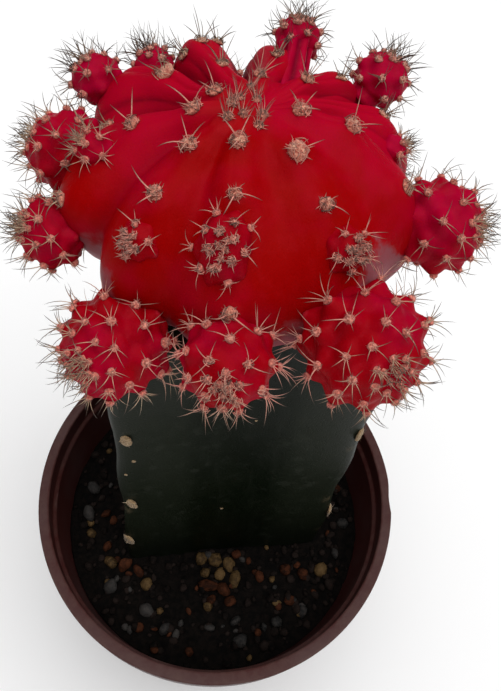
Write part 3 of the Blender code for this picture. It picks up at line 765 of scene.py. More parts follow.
def make_pot():
    """The moulded pot, turned finely, with a small tab where its rim was trimmed and holes in its floor."""
    rim_inner = RIM_RADIUS - RIM_WIDTH
    under_rim = POT_HEIGHT - RIM_DEPTH
    lip_taper = 0.5 * MM
    foot = 1.0 * MM
    chamfer = 0.7 * MM
    profile = [
        (wall_inner_radius(FLOOR), FLOOR),
        (wall_inner_radius(under_rim - 0.8 * MM), under_rim - 0.8 * MM),
        (wall_inner_radius(under_rim), under_rim + 0.5 * MM),
        (rim_inner - 0.2 * MM, under_rim + RIM_STEP),
        (rim_inner, POT_HEIGHT),
        (RIM_RADIUS, POT_HEIGHT),
        (RIM_RADIUS - lip_taper, under_rim),
        (wall_inner_radius(under_rim) + WALL, under_rim - RIM_STEP / 2),
        (BASE_RADIUS, chamfer),
        (BASE_RADIUS - chamfer, 0.0),
    ]
    corners = (foot, 0.3 * MM, 0.3 * MM, 0.25 * MM, 0.4 * MM, 0.4 * MM, 0.3 * MM, 0.3 * MM, 0.4 * MM, 0)
    line = rounded([(0.0, FLOOR)] + profile + [(0.0, 0.0)], (0, *corners, 0))[1:-1]
    turns = np.arange(POT_COLUMNS) * tau / POT_COLUMNS
    rows = []
    for radius, height in line:
        sway = POT_SWAY * np.sin(2 * turns + 0.6) * height / POT_HEIGHT
        in_rim = clamped((height - under_rim) / RIM_STEP)
        tab = -RIM_TAB_DEPTH * in_rim * np.exp(-((turns - RIM_TAB_TURN) / RIM_TAB_WIDTH) ** 2)
        reach = np.minimum(radius + sway + (tab if radius > RIM_RADIUS - RIM_WIDTH / 2 else 0.0), RIM_RADIUS)
        rows.append(level_ring(turns, reach, height))
    points, faces = closed_surface(rows, (0, 0, FLOOR), (0, 0, 0))
    pot = mesh_piece("moulded_pot", points, faces, pot_plastic())
    cut_drains(pot)
    pot.data.shade_smooth()
    pot.data.set_sharp_from_angle(angle=radians(40))
    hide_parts("pot")


def stock_axis(height):
    """The middle of the stock at a height above the soil line."""
    return Vector((STOCK_FOOT[0] + STOCK_LEAN[0] * height, STOCK_FOOT[1] + STOCK_LEAN[1] * height,
                   SOIL_LINE + height))


def rib_direction(rib):
    """Azimuth of one of the three ribs, in radians; rib 1 stands at the back."""
    return pi / 2 + STOCK_TURN + (rib - 1) * tau / 3


def stock_radii(turns, height):
    """Radii of the rounded triangle at turns from the back rib, at a height above the soil line."""
    share = min(max(height / STOCK_HEIGHT, -0.3), 1.0)
    rib_radius = STOCK_RADIUS_LOW + (STOCK_RADIUS_HIGH - STOCK_RADIUS_LOW) * share
    if height < 0:
        rib_radius *= 1 - 0.35 * (height / STOCK_BURIED) ** 2
    total = sum(np.maximum(0.0, np.cos(turns - (2 * face + 1) * pi / 3)) ** STOCK_CORNER for face in range(3))
    corner = 0.5 * 2 ** (1 / STOCK_CORNER)
    radii = rib_radius * corner / total ** (1 / STOCK_CORNER)
    rib_share = 0.5 + 0.5 * np.cos(3 * turns)
    radii = radii * (1 - STOCK_HOLLOW * (1 - rib_share))
    radii = radii * (1 + STOCK_WAVE * rib_share ** 3 * cos(tau * (height - STOCK_PITCH / 2) / STOCK_PITCH))
    near_top = max(0.0, height - (STOCK_HEIGHT - STOCK_BEVEL)) / STOCK_BEVEL
    if not near_top:
        return radii
    return np.minimum(radii, STOCK_RADIUS_HIGH * 1.02 + (STOCK_TOP_RADIUS - STOCK_RADIUS_HIGH) * near_top)


def stock_ring(height, grow=0.0, columns=216):
    """Points round the stock at a height above the soil line, grown outward by a distance."""
    turns = np.arange(columns) * tau / columns
    middle = stock_axis(height)
    return level_ring(turns + rib_direction(1), stock_radii(turns, height) + grow, middle.z, middle.xy)


def make_stock():
    """The three-ribbed stock, with shallow wrinkles and cork along its ribs."""
    heights = np.linspace(-STOCK_BURIED, STOCK_HEIGHT, STOCK_ROWS)
    rows = np.array([stock_ring(height) for height in heights])
    middles = np.array([stock_axis(height) for height in heights])[:, None, :]
    outward = rows - middles
    outward /= np.linalg.norm(outward, axis=-1, keepdims=True)
    wrinkle = uneven(rows * (1.0, 1.0, 0.35), STOCK_RELIEF)
    rows = rows + outward * wrinkle[..., None] * MM
    turns = np.arange(rows.shape[1]) * tau / rows.shape[1]
    ribs = 0.5 + 0.5 * np.cos(3 * turns)
    patchy = np.clip(0.5 + 0.9 * roughness_at(rows, 4 * MM, 2.0), 0, 1)
    cork = 0.75 * np.clip((ribs - 0.95) / 0.05, 0, 1) * patchy
    tones = np.maximum(cork, 0.5 * np.clip((ribs - 0.25) / 0.6, 0, 1))
    points, faces = closed_surface(rows, stock_axis(-STOCK_BURIED), stock_axis(STOCK_HEIGHT))
    stock = mesh_piece("ribbed_stock", points, faces, stock_skin(), [0.0, *tones.reshape(-1), 0.0])
    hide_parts("rootstock")
    return stock


def soil_surface(x, y):
    """Height of the uneven and crumbly potting mix, a little higher round the stock."""
    def lumps_of(size, seed):
        return noise.noise(Vector((x, y, seed)) / (size * MM))

    lumps = lumps_of(3.2, 0.0) + 0.6 * lumps_of(1.7, 0.02)
    crumbs = lumps_of(0.7, 0.01) + 0.5 * lumps_of(0.35, 0.03)
    far = hypot(x - STOCK_FOOT[0], y - STOCK_FOOT[1]) / RIM_RADIUS
    return SOIL_LINE + SOIL_RELIEF * lumps + SOIL_MOUND * (0.6 - far) + SOIL_CRUMBS * crumbs


def make_soil():
    """The potting mix as one crumbly body with a hole for the stock, from the pot's floor to its soil line."""
    turns = np.arange(SOIL_COLUMNS) * tau / SOIL_COLUMNS + rib_direction(1)
    hole = 0.05 * MM
    rows = [stock_ring(height, hole, SOIL_COLUMNS) for height in np.linspace(-STOCK_BURIED, -0.5 * MM, 6)]
    inner = stock_ring(0.0, hole, SOIL_COLUMNS)
    gap = SEAT_GAP * 0.3
    outer = level_ring(turns, wall_inner_radius(SOIL_LINE) - gap, 0.0)
    for share in np.linspace(0, 1, 60):
        ring = inner * (1 - share) + outer * share
        ring[:, 2] = [soil_surface(x, y) for x, y in ring[:, :2]]
        rows.append(ring)
    for height in (SOIL_LINE - 3 * MM, FLOOR + 1.0 * MM, FLOOR + 0.2 * MM):
        inset = gap if height > FLOOR + 0.5 * MM else 1.0 * MM
        rows.append(level_ring(turns, wall_inner_radius(height) - inset, height))
    points, faces = closed_surface(rows, stock_axis(-STOCK_BURIED), (0, 0, FLOOR + 0.2 * MM))
    mix = grainy("potting_mix", (0.005, 0.0036, 0.003), (0.0015, 0.0012, 0.001), 0.9, 900.0)
    soil = mesh_piece("gritty_mix", points, faces, mix)
    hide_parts("soil")


def rib_azimuths(latitudes):
    """Azimuths of every rib's crest at each latitude, in degrees, eased where a crest turns at an areole."""
    table = []
    for rib in RIBS:
        heights = [place[0] for place in reversed(rib[3])]
        turns = [place[1] for place in reversed(rib[3])]
        near_by = [np.interp(latitudes + shift, heights, turns) for shift in (-8, -4, 0, 4, 8)]
        table.append(np.mean(near_by, axis=0))
    return np.array(table)


def areole_places():
    """Every areole of the head as (latitude, azimuth) in degrees: down the ribs, then the loose ones."""
    return [place for rib in RIBS for place in rib[3]] + list(LOOSE_AREOLES)


def groove_shape(across, depth):
    """How far the skin sinks from one crest to the next, from 0 to 1: rounder where the groove is shallow."""
    soften = np.maximum(0.05, 0.45 - 2 * depth)
    top = np.sqrt(1 + soften ** 2)
    groove = (top - np.sqrt(np.cos(pi * across) ** 2 + soften ** 2)) / (top - soften)
    return groove ** (1 + 4 * depth)


def pleat_folds(points, ways, lat, across):
    """Soft upright folds behind the crown, a little above and below 0."""
    behind = np.clip((ways[..., 1] + 0.15) / 0.4, 0.12, 1)
    band = np.interp(lat, PLEAT_LATITUDES, (0, 1, 1, 0))
    bend = 0.10 * roughness_at(points, 9 * MM, 12.0)
    folds = np.abs(np.sin(pi * (PLEATS * across + bend * PLEATS))) ** 0.7
    return (folds - 0.7) * behind * band


def head_rows():
    """Rows of points over the head, from its crown down, and the tone of each point."""
    count = len(RIBS)
    columns = count * HEAD_COLUMNS
    latitudes = np.linspace(90, -90, HEAD_ROWS + 2)[1:-1]
    crests = rib_azimuths(latitudes)
    phases = np.arange(columns) / HEAD_COLUMNS
    ribs = phases.astype(int)
    across = phases - ribs
    start = crests[ribs].T
    end = crests[(ribs + 1) % count].T + 360 * (ribs + 1 == count)
    azimuths = start + (end - start) * across
    lat = np.broadcast_to(latitudes[:, None], azimuths.shape)
    ways = directions(azimuths, lat)
    half = np.where(lat > 0, HEAD_TOP, HEAD_UNDER)
    radius = 1 / np.sqrt((np.hypot(ways[..., 0], ways[..., 1]) / HEAD_RADIUS) ** 2 + (ways[..., 2] / half) ** 2)
    swell = np.array([rib[1] * np.exp(-((latitudes - rib[2]) / SWELL_SPREAD) ** 2) for rib in RIBS])
    ease = eased(across)
    radius = radius * (1 + swell[ribs].T * (1 - ease) + swell[(ribs + 1) % count].T * ease)
    depth = np.array([rib[0] for rib in RIBS])[ribs]
    groove = groove_shape(across, depth)
    fade = np.minimum(1.0, (90 - np.abs(lat)) / GROOVE_END) ** GROOVE_FADE
    radius = radius * (1 - depth * groove * fade)
    radius = radius * (1 - CROWN_DIMPLE * np.maximum(0.0, (lat - CROWN_EDGE) / (90 - CROWN_EDGE)))
    from_notch = angles_from(ways, direction(NOTCH[1], NOTCH[0]))
    radius = radius * (1 - NOTCH[2] * np.exp(-(from_notch / NOTCH_SPREAD) ** 2))
    near = np.zeros_like(radius)
    for latitude, azimuth in areole_places():
        near = near + np.exp(-(angles_from(ways, direction(azimuth, latitude)) / TUBERCLE_SPREAD) ** 2)
    radius = radius + TUBERCLE_HEIGHT * near
    points = ways * radius[..., None]
    pleats = pleat_folds(points, ways, lat, across)
    points = points + ways * (uneven(points, HEAD_RELIEF) * MM + pleats * PLEAT_DEPTH)[..., None]
    points[..., 2] = np.maximum(points[..., 2], -HEAD_SEAT - SEAT_GAP)
    # Low tones in the grooves and pleat valleys, painted dark as painted shade by the skin's material
    crease = np.clip(groove * fade * depth / 0.2, 0, 1)
    tones = np.clip(0.75 - 0.75 * crease + 0.3 * np.clip(near, 0, 1) ** 2 + 0.65 * np.minimum(pleats, 0), 0, 1)
    return points + np.array(HEAD_CENTRE), tones


def make_head():
    """The ribbed red head, flat where it is grafted."""
    rows, tones = head_rows()
    crown = Vector((*HEAD_CENTRE.xy, rows[0, :, 2].mean()))
    base = HEAD_CENTRE - Vector((0, 0, HEAD_SEAT + SEAT_GAP))
    points, faces = closed_surface(rows[::-1], base, crown)
    tones = [0.7, *tones[::-1].reshape(-1), 0.7]
    skin = red_flesh("head_skin", *HEAD_REDS, HEAD_CENTRE.z - WITHERED_AND_LIT_UNDER)
    head = mesh_piece("red_head", points, faces, skin, tones)
    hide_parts("scion_head")
    return head


class Offset:
    """One offset: a small ball of tubercles on a short neck, which bends up to its growing tip."""

    def __init__(self, name, azimuth, latitude, distance, radius, tip_azimuth, tip_rise):
        self.name = "offset_" + name
        self.outward = direction(azimuth, latitude)
        self.centre = HEAD_CENTRE + self.outward * distance * MM
        self.radius = radius * MM
        self.bend = self.outward.rotation_difference(direction(tip_azimuth, tip_rise))
        self.is_cushion = name in CUSHIONS
        self.is_brush = name in BRUSHES
        grid = next(grid for limit, *grid in OFFSET_GRIDS if radius < limit)
        self.ribs, self.rings = CUSHION_GRID if self.is_cushion else grid
        rise = direction(azimuth, latitude + 90)
        self.stretch = Matrix.Scale(CUSHION_STRETCH if name == "front" else 1.0, 3, rise)
        self.rng = random.Random(SEED + len(name) * 7 + int(azimuth) % 97)
        self.peaks = self.peak_places()

    def peak_places(self):
        """Polar angle and turn of each tubercle, in the straight ball, with a little of nature's unevenness."""
        places = []
        for ring in range(1, self.rings):
            for column in range(2 * self.ribs):
                if (ring + column) % 2 == 0:
                    polar = pi * ring / self.rings + self.rng.uniform(-0.06, 0.06)
                    turn = pi * column / self.ribs + self.rng.uniform(-0.08, 0.08)
                    places.append((polar, turn, self.rng.uniform(0.8, 1.15)))
        return places

    def turned(self, polar):
        """The rotation from the straight ball to the bent one, at a polar angle from the growing tip."""
        upright = Vector((0, 0, 1)).rotation_difference(self.outward)
        return Quaternion().slerp(self.bend, 1 - polar / pi) @ upright

    def place(self, polar, turn, radius):
        """A point of the bent ball, by its polar angle and turn in the straight one."""
        way = Vector((sin(polar) * cos(turn), sin(polar) * sin(turn), cos(polar)))
        return self.centre + self.stretch @ (self.turned(polar) @ way) * radius

    def bump(self, ways):
        """How high the tubercles stand at unit vectors of the straight ball, from 0 to about 1."""
        spread = 0.56 * pi / self.rings + 0.25 * pi / self.ribs
        total = np.zeros(ways.shape[:-1])
        for polar, turn, size in self.peaks:
            apart = angles_from(ways, (sin(polar) * cos(turn), sin(polar) * sin(turn), cos(polar)))
            total += (size * np.exp(-(apart / spread) ** 1.5)) ** 4
        return total ** 0.25

    def make(self, head_tree, skin):
        """The offset's flesh, whose neck reaches a little into the head."""
        surface = head_tree.ray_cast(self.centre + self.outward * self.radius, -self.outward)[0]
        seat_depth = max((self.centre - surface).dot(self.outward), 0.0) + NECK_SINK
        fine = max(0.45, self.radius / FULL_SIZE_OFFSET)
        columns, count = int(OFFSET_COLUMNS * fine), int(OFFSET_ROWS * fine)
        turns = np.arange(columns) * tau / columns
        rows, tones = [], []
        for i in range(1, count):
            polar = pi * i / count
            ways = level_ring(turns, sin(polar), cos(polar))
            high = self.bump(ways)
            swing = OFFSET_BUMP * (0.4 + 0.6 * min(1.0, polar / 1.3))
            radii = self.radius * (1 - swing + 2 * swing * high)
            from_neck = pi - polar
            if from_neck < pi / 2:
                neck = min(self.radius * NECK_WIDTH / max(sin(from_neck), 0.01), seat_depth / cos(from_neck))
                join = eased(clamped((0.85 - from_neck) / 0.3))
                radii = radii * (1 - join) + max(self.radius * 0.9, neck) * join
            turn_matrix = np.array(self.stretch @ self.turned(polar).to_matrix())
            rows.append(np.array(self.centre) + (ways * radii[:, None]) @ turn_matrix.T)
            # Low tones between the tubercles, painted dark as painted shade by the skin's material
            tones.append(np.clip(0.15 + 0.85 * high, 0, 1))
        rows = np.array(rows)
        middles = rows - np.array(self.centre)
        unit = middles / np.linalg.norm(middles, axis=-1, keepdims=True)
        rows = rows + unit * (0.10 * MM * roughness_at(rows, 1.5 * MM, 4.0))[..., None]
        points, faces = closed_surface(rows[::-1], rows[-1].mean(axis=0), rows[0].mean(axis=0))
        values = [0.5, *np.array(tones)[::-1].reshape(-1), 0.6]
        self.body = mesh_piece(self.name + "_flesh", points, faces, skin, values)
        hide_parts(self.name)
        return self.body


def sharp_cone(points, faces, middle, side, across, radius, tip):
    """A three-sided fibre from a small base to its tip."""
    first = len(points)
    for k in range(3):
        points.append(middle + turned_way(side, across, tau * k / 3) * radius)
    points.append(tip)
    faces.extend(tuple(first + i for i in face) for face in ((0, 1, 3), (1, 2, 3), (2, 0, 3), (2, 1, 0)))


def wool_button(forms, point, normal, radius, height, rng, fibres, pits=0):
    """A lumpy cushion of wool, with short fibres that stand out of it all round and dark pits in its top."""
    side, across = square_to(normal)
    columns, count = 11, 4
    rows = []
    for i in range(count):
        polar = pi / 2 * (1 - (i + 0.2) / count)
        ring = []
        for k in range(columns):
            reach = radius * sin(polar) * rng.uniform(0.82, 1.14)
            rise = height * cos(polar) * rng.uniform(0.82, 1.16)
            ring.append(point + turned_way(side, across, tau * k / columns) * reach + normal * rise)
        rows.append(ring)
    under = [[p - normal * (0.35 * height) for p in rows[0]]]
    points, faces = closed_surface([[tuple(p) for p in row] for row in under + rows],
                                   point - normal * 0.35 * height, point + normal * height * 0.9)
    tones = [0.2] + [0.25] * columns
    for i in range(count):
        tones += [0.45 + 0.5 * (i + 1) / count * rng.uniform(0.7, 1.0) for _ in range(columns)]
    tones.append(rng.uniform(0.5, 0.9))
    for _ in range(pits):
        pit = 1 + 3 * columns + rng.randrange(2 * columns)
        tones[pit] = 0.0
        points[pit] = tuple(Vector(points[pit]) - normal * 0.35 * height)
    forms.add(points, faces, tones)
    points, faces, tones = [], [], []
    for _ in range(fibres):
        turn = rng.uniform(0, tau)
        polar = rng.uniform(0.15, 1.0) * pi / 2
        around = turned_way(side, across, turn)
        foot = point + around * radius * 0.85 * sin(polar) + normal * height * 0.8 * cos(polar)
        way = (around * sin(polar) + normal * cos(polar) + random_vector(rng, -0.5, 0.5)).normalized()
        sharp_cone(points, faces, foot, side, across, FIBRE_RADIUS, foot + way * rng.uniform(0.2, 0.5) * MM)
        tones += [0.7, 0.7, 0.7, 1.0]
    forms.add(points, faces, tones)


def spine_path(root, normal, around, length, start_tilt, end_tilt, sway):
    """Points along a spine that leaves its root at one tilt from the normal and ends at another."""
    path = [root]
    sideways = normal.cross(around)
    for step in range(SPINE_STEPS):
        share = (step + 0.5) / SPINE_STEPS
        tilt = start_tilt + (end_tilt - start_tilt) * share
        way = normal * cos(tilt) + around * sin(tilt) + sideways * sway * share
        path.append(path[-1] + way.normalized() * length / SPINE_STEPS)
    return path


def is_free(path, tree):
    """True if no part of a spine past its root runs into a surface."""
    for start, end in zip(path[1:], path[2:]):
        way = end - start
        if tree.ray_cast(start, way.normalized(), way.length)[0] is not None:
            return False
    return True


def add_spine(forms, path, radius, darkness):
    """A tapered round spine along a path, closed at its root and sharp at its tip."""
    lead = (path[1] - path[0]).normalized()
    side = lead.orthogonal().normalized()
    rows, tones = [], [darkness]
    for i, point in enumerate(path[:-1]):
        lead = (path[i + 1] - point).normalized()
        side = (side - lead * side.dot(lead)).normalized()
        across = lead.cross(side)
        width = radius * (1 - (i / SPINE_STEPS) ** 2) ** 0.7 * (1.25 if i == 0 else 1.0)
        ring = []
        for k in range(SPINE_SIDES):
            ring.append(tuple(point + turned_way(side, across, tau * k / SPINE_SIDES) * width))
        rows.append(ring)
        tones += [max(darkness, i / SPINE_STEPS)] * SPINE_SIDES
    foot = path[0] - (path[1] - path[0]).normalized() * 0.1 * MM
    points, faces = closed_surface(rows, foot, path[-1])
    forms.add(points, faces, tones + [1.0])


def spine_star(forms, point, normal, up, count, spine, circle, rng, tree, tilt=(0.75, 1.25), darkness=0.0):
    """Spines that spread from an areole like a star, longest on its upper side, each clear of every surface."""
    length, radius = spine
    up = (up - normal * up.dot(normal)).normalized()
    across = normal.cross(up)
    first = rng.uniform(0, tau)
    for i in range(count):
        turn = first + tau * (i + rng.uniform(-0.4, 0.4)) / count
        around = turned_way(up, across, turn).normalized()
        reach = length * rng.uniform(0.65, 1.2) * (1 + 0.12 * cos(turn))
        start_tilt = tilt[0] + rng.uniform(-0.35, 0.25)
        end_tilt = tilt[1] + rng.uniform(-0.55, 0.35)
        sway = rng.uniform(-0.6, 0.6)
        root = point + around * circle
        for ease in (1.0, 0.7, 0.4, 0.1):
            path = spine_path(root, normal, around, reach, start_tilt * ease, end_tilt * ease, sway)
            if is_free(path, tree):
                add_spine(forms, path, radius * rng.uniform(0.85, 1.15), darkness)
                break


def curled_nest(forms, point, normal, radius, height, count, rng):
    """Short bristles that curl round and over an areole's wool; some of them are dark."""
    side, across = square_to(normal)
    for _ in range(count):
        start = rng.uniform(0, tau)
        sweep = rng.choice((-1, 1)) * rng.uniform(0.8, 1.8)
        ring = radius * rng.uniform(0.85, 1.25)
        crest = height * rng.uniform(0.6, 1.2)
        inward = rng.uniform(0.3, 0.9)
        path = []
        for step in range(SPINE_STEPS + 1):
            share = step / SPINE_STEPS
            turn = start + sweep * share
            reach = ring * (1 - inward * share)
            rise = height * 0.15 + crest * sin(0.75 * pi * share)
            path.append(point + turned_way(side, across, turn) * reach + normal * rise)
        add_spine(forms, path, CURL_RADIUS, rng.choice((0.0, 0.3, 0.9)))


def dress_head(head_tree, tree, offsets, felt_finish, horn):
    """Wool and spines on every areole of the head; the crown's stand close and dark."""
    rng = random.Random(SEED)
    felt, spines, bristles = Forms(), Forms(), Forms()
    for latitude, azimuth in areole_places() + list(LOBE_AREOLES) + list(CROWN_AREOLES):
        way = direction(azimuth, latitude)
        point, normal = head_tree.ray_cast(HEAD_CENTRE + way * 2 * HEAD_RADIUS, -way)[:2]
        if any((point - offset.centre).length < offset.radius * 1.12 for offset in offsets):
            continue
        normal = (normal + way).normalized()
        up = Vector((0, 0, 1)) if latitude < 60 else Vector((0, 1, 0))
        crown = latitude > CROWN_LATITUDE
        usual = CROWN_WOOL if crown else WOOL_SIZES.get((latitude, azimuth), USUAL_WOOL)
        size = rng.uniform(0.92, 1.08) * usual
        top = point + normal * 0.4 * MM * size
        circle = 0.35 * MM * size
        wool = HEAD_WOOL_RADIUS * size
        fibres = CROWN_FIBRES if crown else FIBRES
        wool_button(felt, point, normal, wool, 0.5 * MM * size, rng, fibres, WOOL_PITS)
        if crown:
            leaning = (normal + 0.5 * up).normalized()
            spine_star(spines, point, leaning, up, 6, CROWN_SPINE, 0.3 * MM, rng, tree, (0.3, 0.6))
            spine_star(spines, point, leaning, up, 4, DARK_CROWN_SPINE, 0.2 * MM, rng, tree, (0.3, 0.7), 0.8)
        elif point.y > REAR_EDGE:
            count = rng.choice((5, 6, 7))
            spine_star(spines, top, normal, up, count, REAR_SPINE, circle, rng, tree, (0.5, 1.0), 0.45)
        else:
            count = rng.choice((2, 3, 3, 4))
            spine_star(spines, top, normal, up, count, FRONT_SPINE, circle, rng, tree, (0.75, 1.2))
        spine_star(bristles, point, normal, up, 6, BRISTLE, wool * 0.9, rng, tree, (0.9, 1.3))
        curled_nest(bristles, point, normal, wool, 0.65 * MM * size, CURLS, rng)
    felt.piece("head_wool", felt_finish)
    spines.piece("head_spines", horn)
    bristles.piece("head_bristles", horn)


def dress_offset(offset, head_tree, tree, wool, horn):
    """Wool and spines on every free tubercle of an offset, and a woolly growing tip."""
    rng = offset.rng
    body_tree = surface_tree(offset.body)
    felt, spines = Forms(), Forms()
    places = [(polar, turn) for polar, turn, _ in offset.peaks if polar < 0.72 * pi]
    small = offset.radius < SMALL_OFFSET
    curled = offset.is_cushion or offset.name == "offset_low_front"
    crowded = offset.is_cushion or offset.is_brush
    tip_count = 8 if crowded else 4 if small else 6
    tip_reach = 0.5 if crowded else 0.16
    places += [(0.10 + tip_reach * k / tip_count, GOLDEN_TURN * k) for k in range(tip_count)]
    for polar, turn in places:
        target = offset.place(polar, turn, offset.radius * 1.6)
        inward = (offset.place(polar, turn, 0.2 * offset.radius) - target).normalized()
        point, normal = body_tree.ray_cast(target, inward)[:2]
        if point is None:
            continue
        skin, skin_normal = head_tree.find_nearest(point)[:2]
        if (point - skin).dot(skin_normal) < CLEAR_OF_HEAD:
            continue
        normal = (normal - inward).normalized()
        young = max(0.0, 1 - polar / 0.9)
        size = rng.uniform(0.85, 1.12) * (0.85 if small else 1.0) * (1 - 0.2 * young)
        if offset.is_brush:
            size *= 1.2
        radius = OFFSET_WOOL_RADIUS * size
        wool_button(felt, point, normal, radius, 0.4 * MM * size, rng, OFFSET_FIBRES, 1)
        if curled and polar < 0.9:
            curled_nest(spines, point, normal, radius * 1.25, 0.55 * MM * size, OFFSET_CURLS, rng)
        up = offset.place(0.0, 0.0, offset.radius) - point
        if up.length < 0.1 * MM:
            up = offset.outward
        rise = (point - offset.centre).z
        if curled and polar < (0.65 if offset.is_cushion else 0.3):
            count, share = rng.choice((3, 4, 5)), 0.5
        elif offset.is_cushion:
            count, share = rng.choice((3, 4, 5)), 0.95
        elif rise < -0.45 * offset.radius:
            count, share = rng.choice((2, 3, 4)), 0.8
        elif offset.is_brush and polar < 0.7:
            count, share = rng.choice((3, 4)), 1.4
        elif offset.is_brush:
            count, share = rng.choice((5, 6, 7)), 1.1
        else:
            count, share = rng.choice((4, 5, 6, 7)), 1 - 0.2 * young
        length = (SMALL_OFFSET_SPINE if small else OFFSET_SPINE) * share
        old = clamped((polar - 1.0) / 0.5) if rise > 0 else 0.0
        darkness = rng.uniform(0.35, 0.85) if offset.is_brush else 0.6 * old * rng.random()
        spine = (length, OFFSET_SPINE_RADIUS)
        tilt = (0.7 - 0.3 * young, 1.2 - 0.5 * young)
        spine_star(spines, point + normal * 0.15 * MM, normal, up.normalized(), count, spine, 0.2 * MM * size,
                   rng, tree, tilt, darkness)
    felt.piece(offset.name + "_wool", wool)
    spines.piece(offset.name + "_spines", horn)


def make_stalk(top, head_tree, skin):
    """The ribbed stalk that carries the topmost offset up from between two lobes of the head."""
    way = direction(*STALK_FOOT)
    skin_point = head_tree.ray_cast(HEAD_CENTRE + way * 2 * HEAD_RADIUS, -way)[0]
    foot = skin_point - way * STALK_SUNK
    head_end = top.centre + Vector((0, 0, 0.3 * MM))
    columns, count = 60, 26
    turns = np.arange(columns) * tau / columns
    lead = (head_end - foot).normalized()
    side, across = square_to(lead)
    rows, tones = [], []
    for i in range(count):
        share = i / (count - 1)
        middle = foot.lerp(head_end, share) + way * 0.5 * MM * sin(pi * share)
        fluted = 0.5 + 0.5 * np.cos(STALK_RIBS * turns + 0.8 * share)
        flare = 1 + 0.45 * (1 - share) ** 2 + 0.25 * share ** 3
        radii = STALK_RADIUS * flare * (0.80 + 0.26 * fluted)
        ring = np.outer(np.cos(turns) * radii, side) + np.outer(np.sin(turns) * radii, across)
        rows.append(ring + np.array(middle))
        # Low tones in the grooves of the flutes, painted dark as painted shade by the skin's material
        tones.append(0.15 + 0.55 * fluted)
    rows = np.array(rows)
    ripple = 0.07 * MM * roughness_at(rows, 1.1 * MM, 6.0)
    middles = rows.mean(axis=1, keepdims=True)
    rows = middles + (rows - middles) * (1 + ripple / STALK_RADIUS)[..., None]
    points, faces = closed_surface(rows, foot, head_end)
    return mesh_piece("top_stalk", points, faces, skin, [0.3, *np.array(tones).reshape(-1), 0.5])


def dress_stock(stock_tree, tree, wool, horn):
    """Tan corky areoles down the three ribs, with a few short weak spines, and small scars on the faces."""
    rng = random.Random(SEED + 1)
    felt, spines, scars = Forms(), Forms(), Forms()
    for rib, areoles in enumerate(STOCK_AREOLES):
        for height, turn in areoles:
            azimuth = rib_direction(rib) + turn
            way = Vector((cos(azimuth), sin(azimuth), 0.0))
            point, normal = stock_tree.ray_cast(stock_axis(height) + way * RIM_RADIUS, -way)[:2]
            normal = (normal + way).normalized()
            for rise in (-0.45 * MM, 0.45 * MM):
                radius = rng.uniform(0.95, 1.15) * MM
                wool_button(felt, point + Vector((0, 0, rise)), normal, radius, 0.42 * MM, rng, STOCK_FIBRES)
            spine_star(spines, point + normal * 0.1 * MM, normal, Vector((0, 0, 1)), rng.choice((1, 2, 3)),
                       STOCK_SPINE, 0.3 * MM, rng, tree)
    for azimuth, height, size in STOCK_SCARS:
        way = direction(azimuth, 0)
        point, normal = stock_tree.ray_cast(stock_axis(height * MM) + way * RIM_RADIUS, -way)[:2]
        wool_button(scars, point, normal, size * MM, 0.1 * MM, rng, 0)
    felt.piece("stock_areoles", wool)
    scars.piece("stock_scars", wool)
    spines.piece("stock_spines", horn)


def add_stone(forms, middle, size, squash, rng):
    """A broken lump: a ball of facets pushed in and out, and stretched one way."""
    bm = bmesh.new()
    bmesh.ops.create_icosphere(bm, subdivisions=2, radius=1)
    seed = random_vector(rng, 0, 50)
    turn = Quaternion(random_vector(rng, -1, 1).normalized(), rng.uniform(0, tau)).to_matrix()
    stretch = Vector((rng.uniform(0.8, 1.25), rng.uniform(0.75, 1.1), rng.uniform(*squash)))
    points = []
    for vert in bm.verts:
        cell = noise.voronoi(vert.co * 0.9 + seed)[0][0]
        reach = size * (0.82 + 0.28 * noise.noise(vert.co * 1.3 + seed) + 0.25 * cell)
        points.append(middle + turn @ Vector(a * b for a, b in zip(vert.co, stretch)) * reach)
    faces = [tuple(vert.index for vert in face.verts) for face in bm.faces]
    forms.add(points, faces, [rng.random()] * len(points))
    bm.free()


def scatter(name, seed, material, count, sizes, squash, lift, stones):
    """Loose lumps on the mix: those that the photo shows, then others at random."""
    rng = random.Random(seed)
    forms = Forms()
    for x, y, size in stones:
        level = soil_surface(x * MM, y * MM)
        add_stone(forms, Vector((x * MM, y * MM, level + lift * size * MM)), size * MM, squash, rng)
    wall = wall_inner_radius(SOIL_LINE)
    made = 0
    while made < count:
        size = rng.uniform(*sizes) * MM
        turn = rng.uniform(0, tau)
        out = (wall - size * 1.1) * sqrt(rng.random())
        place = Vector((out * cos(turn), out * sin(turn), 0.0))
        from_stock = place - Vector((*STOCK_FOOT, 0.0))
        stock_turn = atan2(from_stock.y, from_stock.x) - rib_direction(1)
        if from_stock.length < stock_radii(np.array([stock_turn]), 0.0)[0] + size:
            continue
        place.z = soil_surface(place.x, place.y) + lift * size
        add_stone(forms, place, size, squash, rng)
        made += 1
    forms.piece(name, material)


def make_floor():
    """The pale surface that the pot stands on, much wider than the picture."""
    mesh = bpy.data.meshes.new("floor")
    reach = 2.0
    corners = [(-reach, -reach, 0), (reach, -reach, 0), (reach, reach, 0), (-reach, reach, 0)]
    mesh.from_pydata(corners, [], [(0, 1, 2, 3)])
    material, tree, shader = new_material("pale_floor")
    ground = mixed(tree, blotches(tree, 6, 0.3, 0.7), (0.94, 0.94, 0.94), (0.925, 0.925, 0.928))
    feed(shader, {"Base Color": ground, "Roughness": 0.9})
    mesh.materials.append(material)
    floor = new_object("floor", mesh)


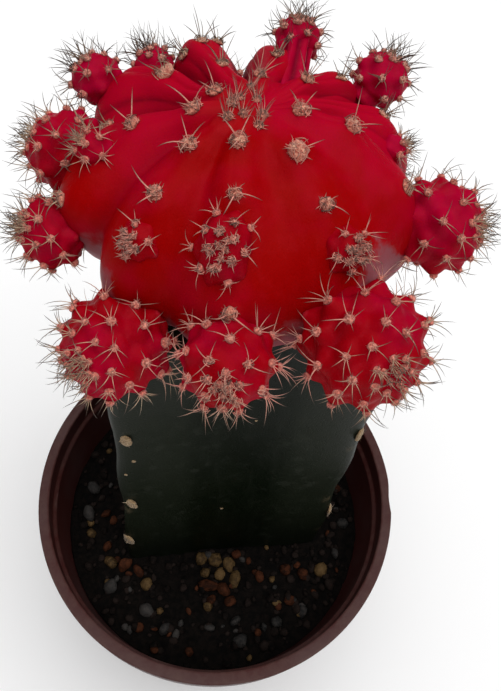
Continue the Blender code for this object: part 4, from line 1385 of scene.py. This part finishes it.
def make_light():
    """A wide soft light from overhead, a weaker one from the right, and a pale surround that adds a little."""
    world = bpy.data.worlds.new("studio")
    world.use_nodes = True
    tree = world.node_tree
    seen = add_node(tree, "ShaderNodeLightPath", {}).outputs["Is Camera Ray"]
    feed(tree.nodes["Background"], {
        "Color": (1.0, 1.0, 1.0), "Strength": ranged(tree, seen, 0.0, 1.0, SURROUND_LIGHT, 1.0),
    })
    bpy.context.scene.world = world
    for name, way, spread, strength in LIGHTS:
        light = bpy.data.lights.new(name, "SUN")
        light.angle = spread
        light.energy = strength
        lamp = new_object(name, light)
        lamp.rotation_euler = Vector(way).to_track_quat("Z", "Y").to_euler()


def make_camera():
    """The photo's viewpoint: close above the front, looking 49 degrees down and rolled a little."""
    down, roll = radians(49.2175), radians(7.571)
    forward = Vector((0, cos(down), -sin(down)))
    level_up = Vector((0, sin(down), cos(down)))
    level_right = Vector((1, 0, 0))
    right = level_right * cos(roll) + level_up * sin(roll)
    up = level_up * cos(roll) - level_right * sin(roll)
    data = bpy.data.cameras.new("camera")
    data.sensor_width = 36
    frame_height = 691
    focal_pixels, middle_row = 715.58, 245.5
    data.lens = focal_pixels / frame_height * data.sensor_width
    data.shift_y = (middle_row - frame_height / 2) / frame_height
    data.clip_start = 0.005
    camera = new_object("camera", data)
    place = Matrix((right, up, -forward)).transposed().to_4x4()
    place.translation = Vector((0.04, -52.36, 179.31)) * MM
    camera.matrix_world = place
    bpy.context.scene.camera = camera


def main():
    bpy.context.scene.view_settings.view_transform = "Standard"
    make_camera()
    make_light()
    make_floor()
    make_pot()
    make_soil()
    stock = make_stock()
    head = make_head()
    head_tree = surface_tree(head)
    offsets = [Offset(name, *values) for name, values in OFFSETS.items()]
    skin = red_flesh("offset_skin", *OFFSET_REDS)
    bodies = [offset.make(head_tree, skin) for offset in offsets]
    top = next(offset for offset in offsets if offset.name == "offset_top")
    stalk = make_stalk(top, head_tree, skin)
    tree = surface_tree(head, stock, stalk, *bodies)
    horn = spine_horn("spine_horn", *HORN)
    dress_head(head_tree, tree, offsets, wool_felt("areole_wool", *AREOLE_WOOL), horn)
    young_wool = wool_felt("offset_wool", *OFFSET_WOOL)
    for offset in offsets:
        dress_offset(offset, head_tree, tree, young_wool, horn)
    dress_stock(surface_tree(stock), tree, wool_felt("stock_cork", *STOCK_CORK), horn)
    for piece, seed, material, light, dark, roughness, scale, tone_reach, *spread in LUMPS:
        scatter(piece, seed, grainy(material, light, dark, roughness, scale, tone_reach), *spread)


main()
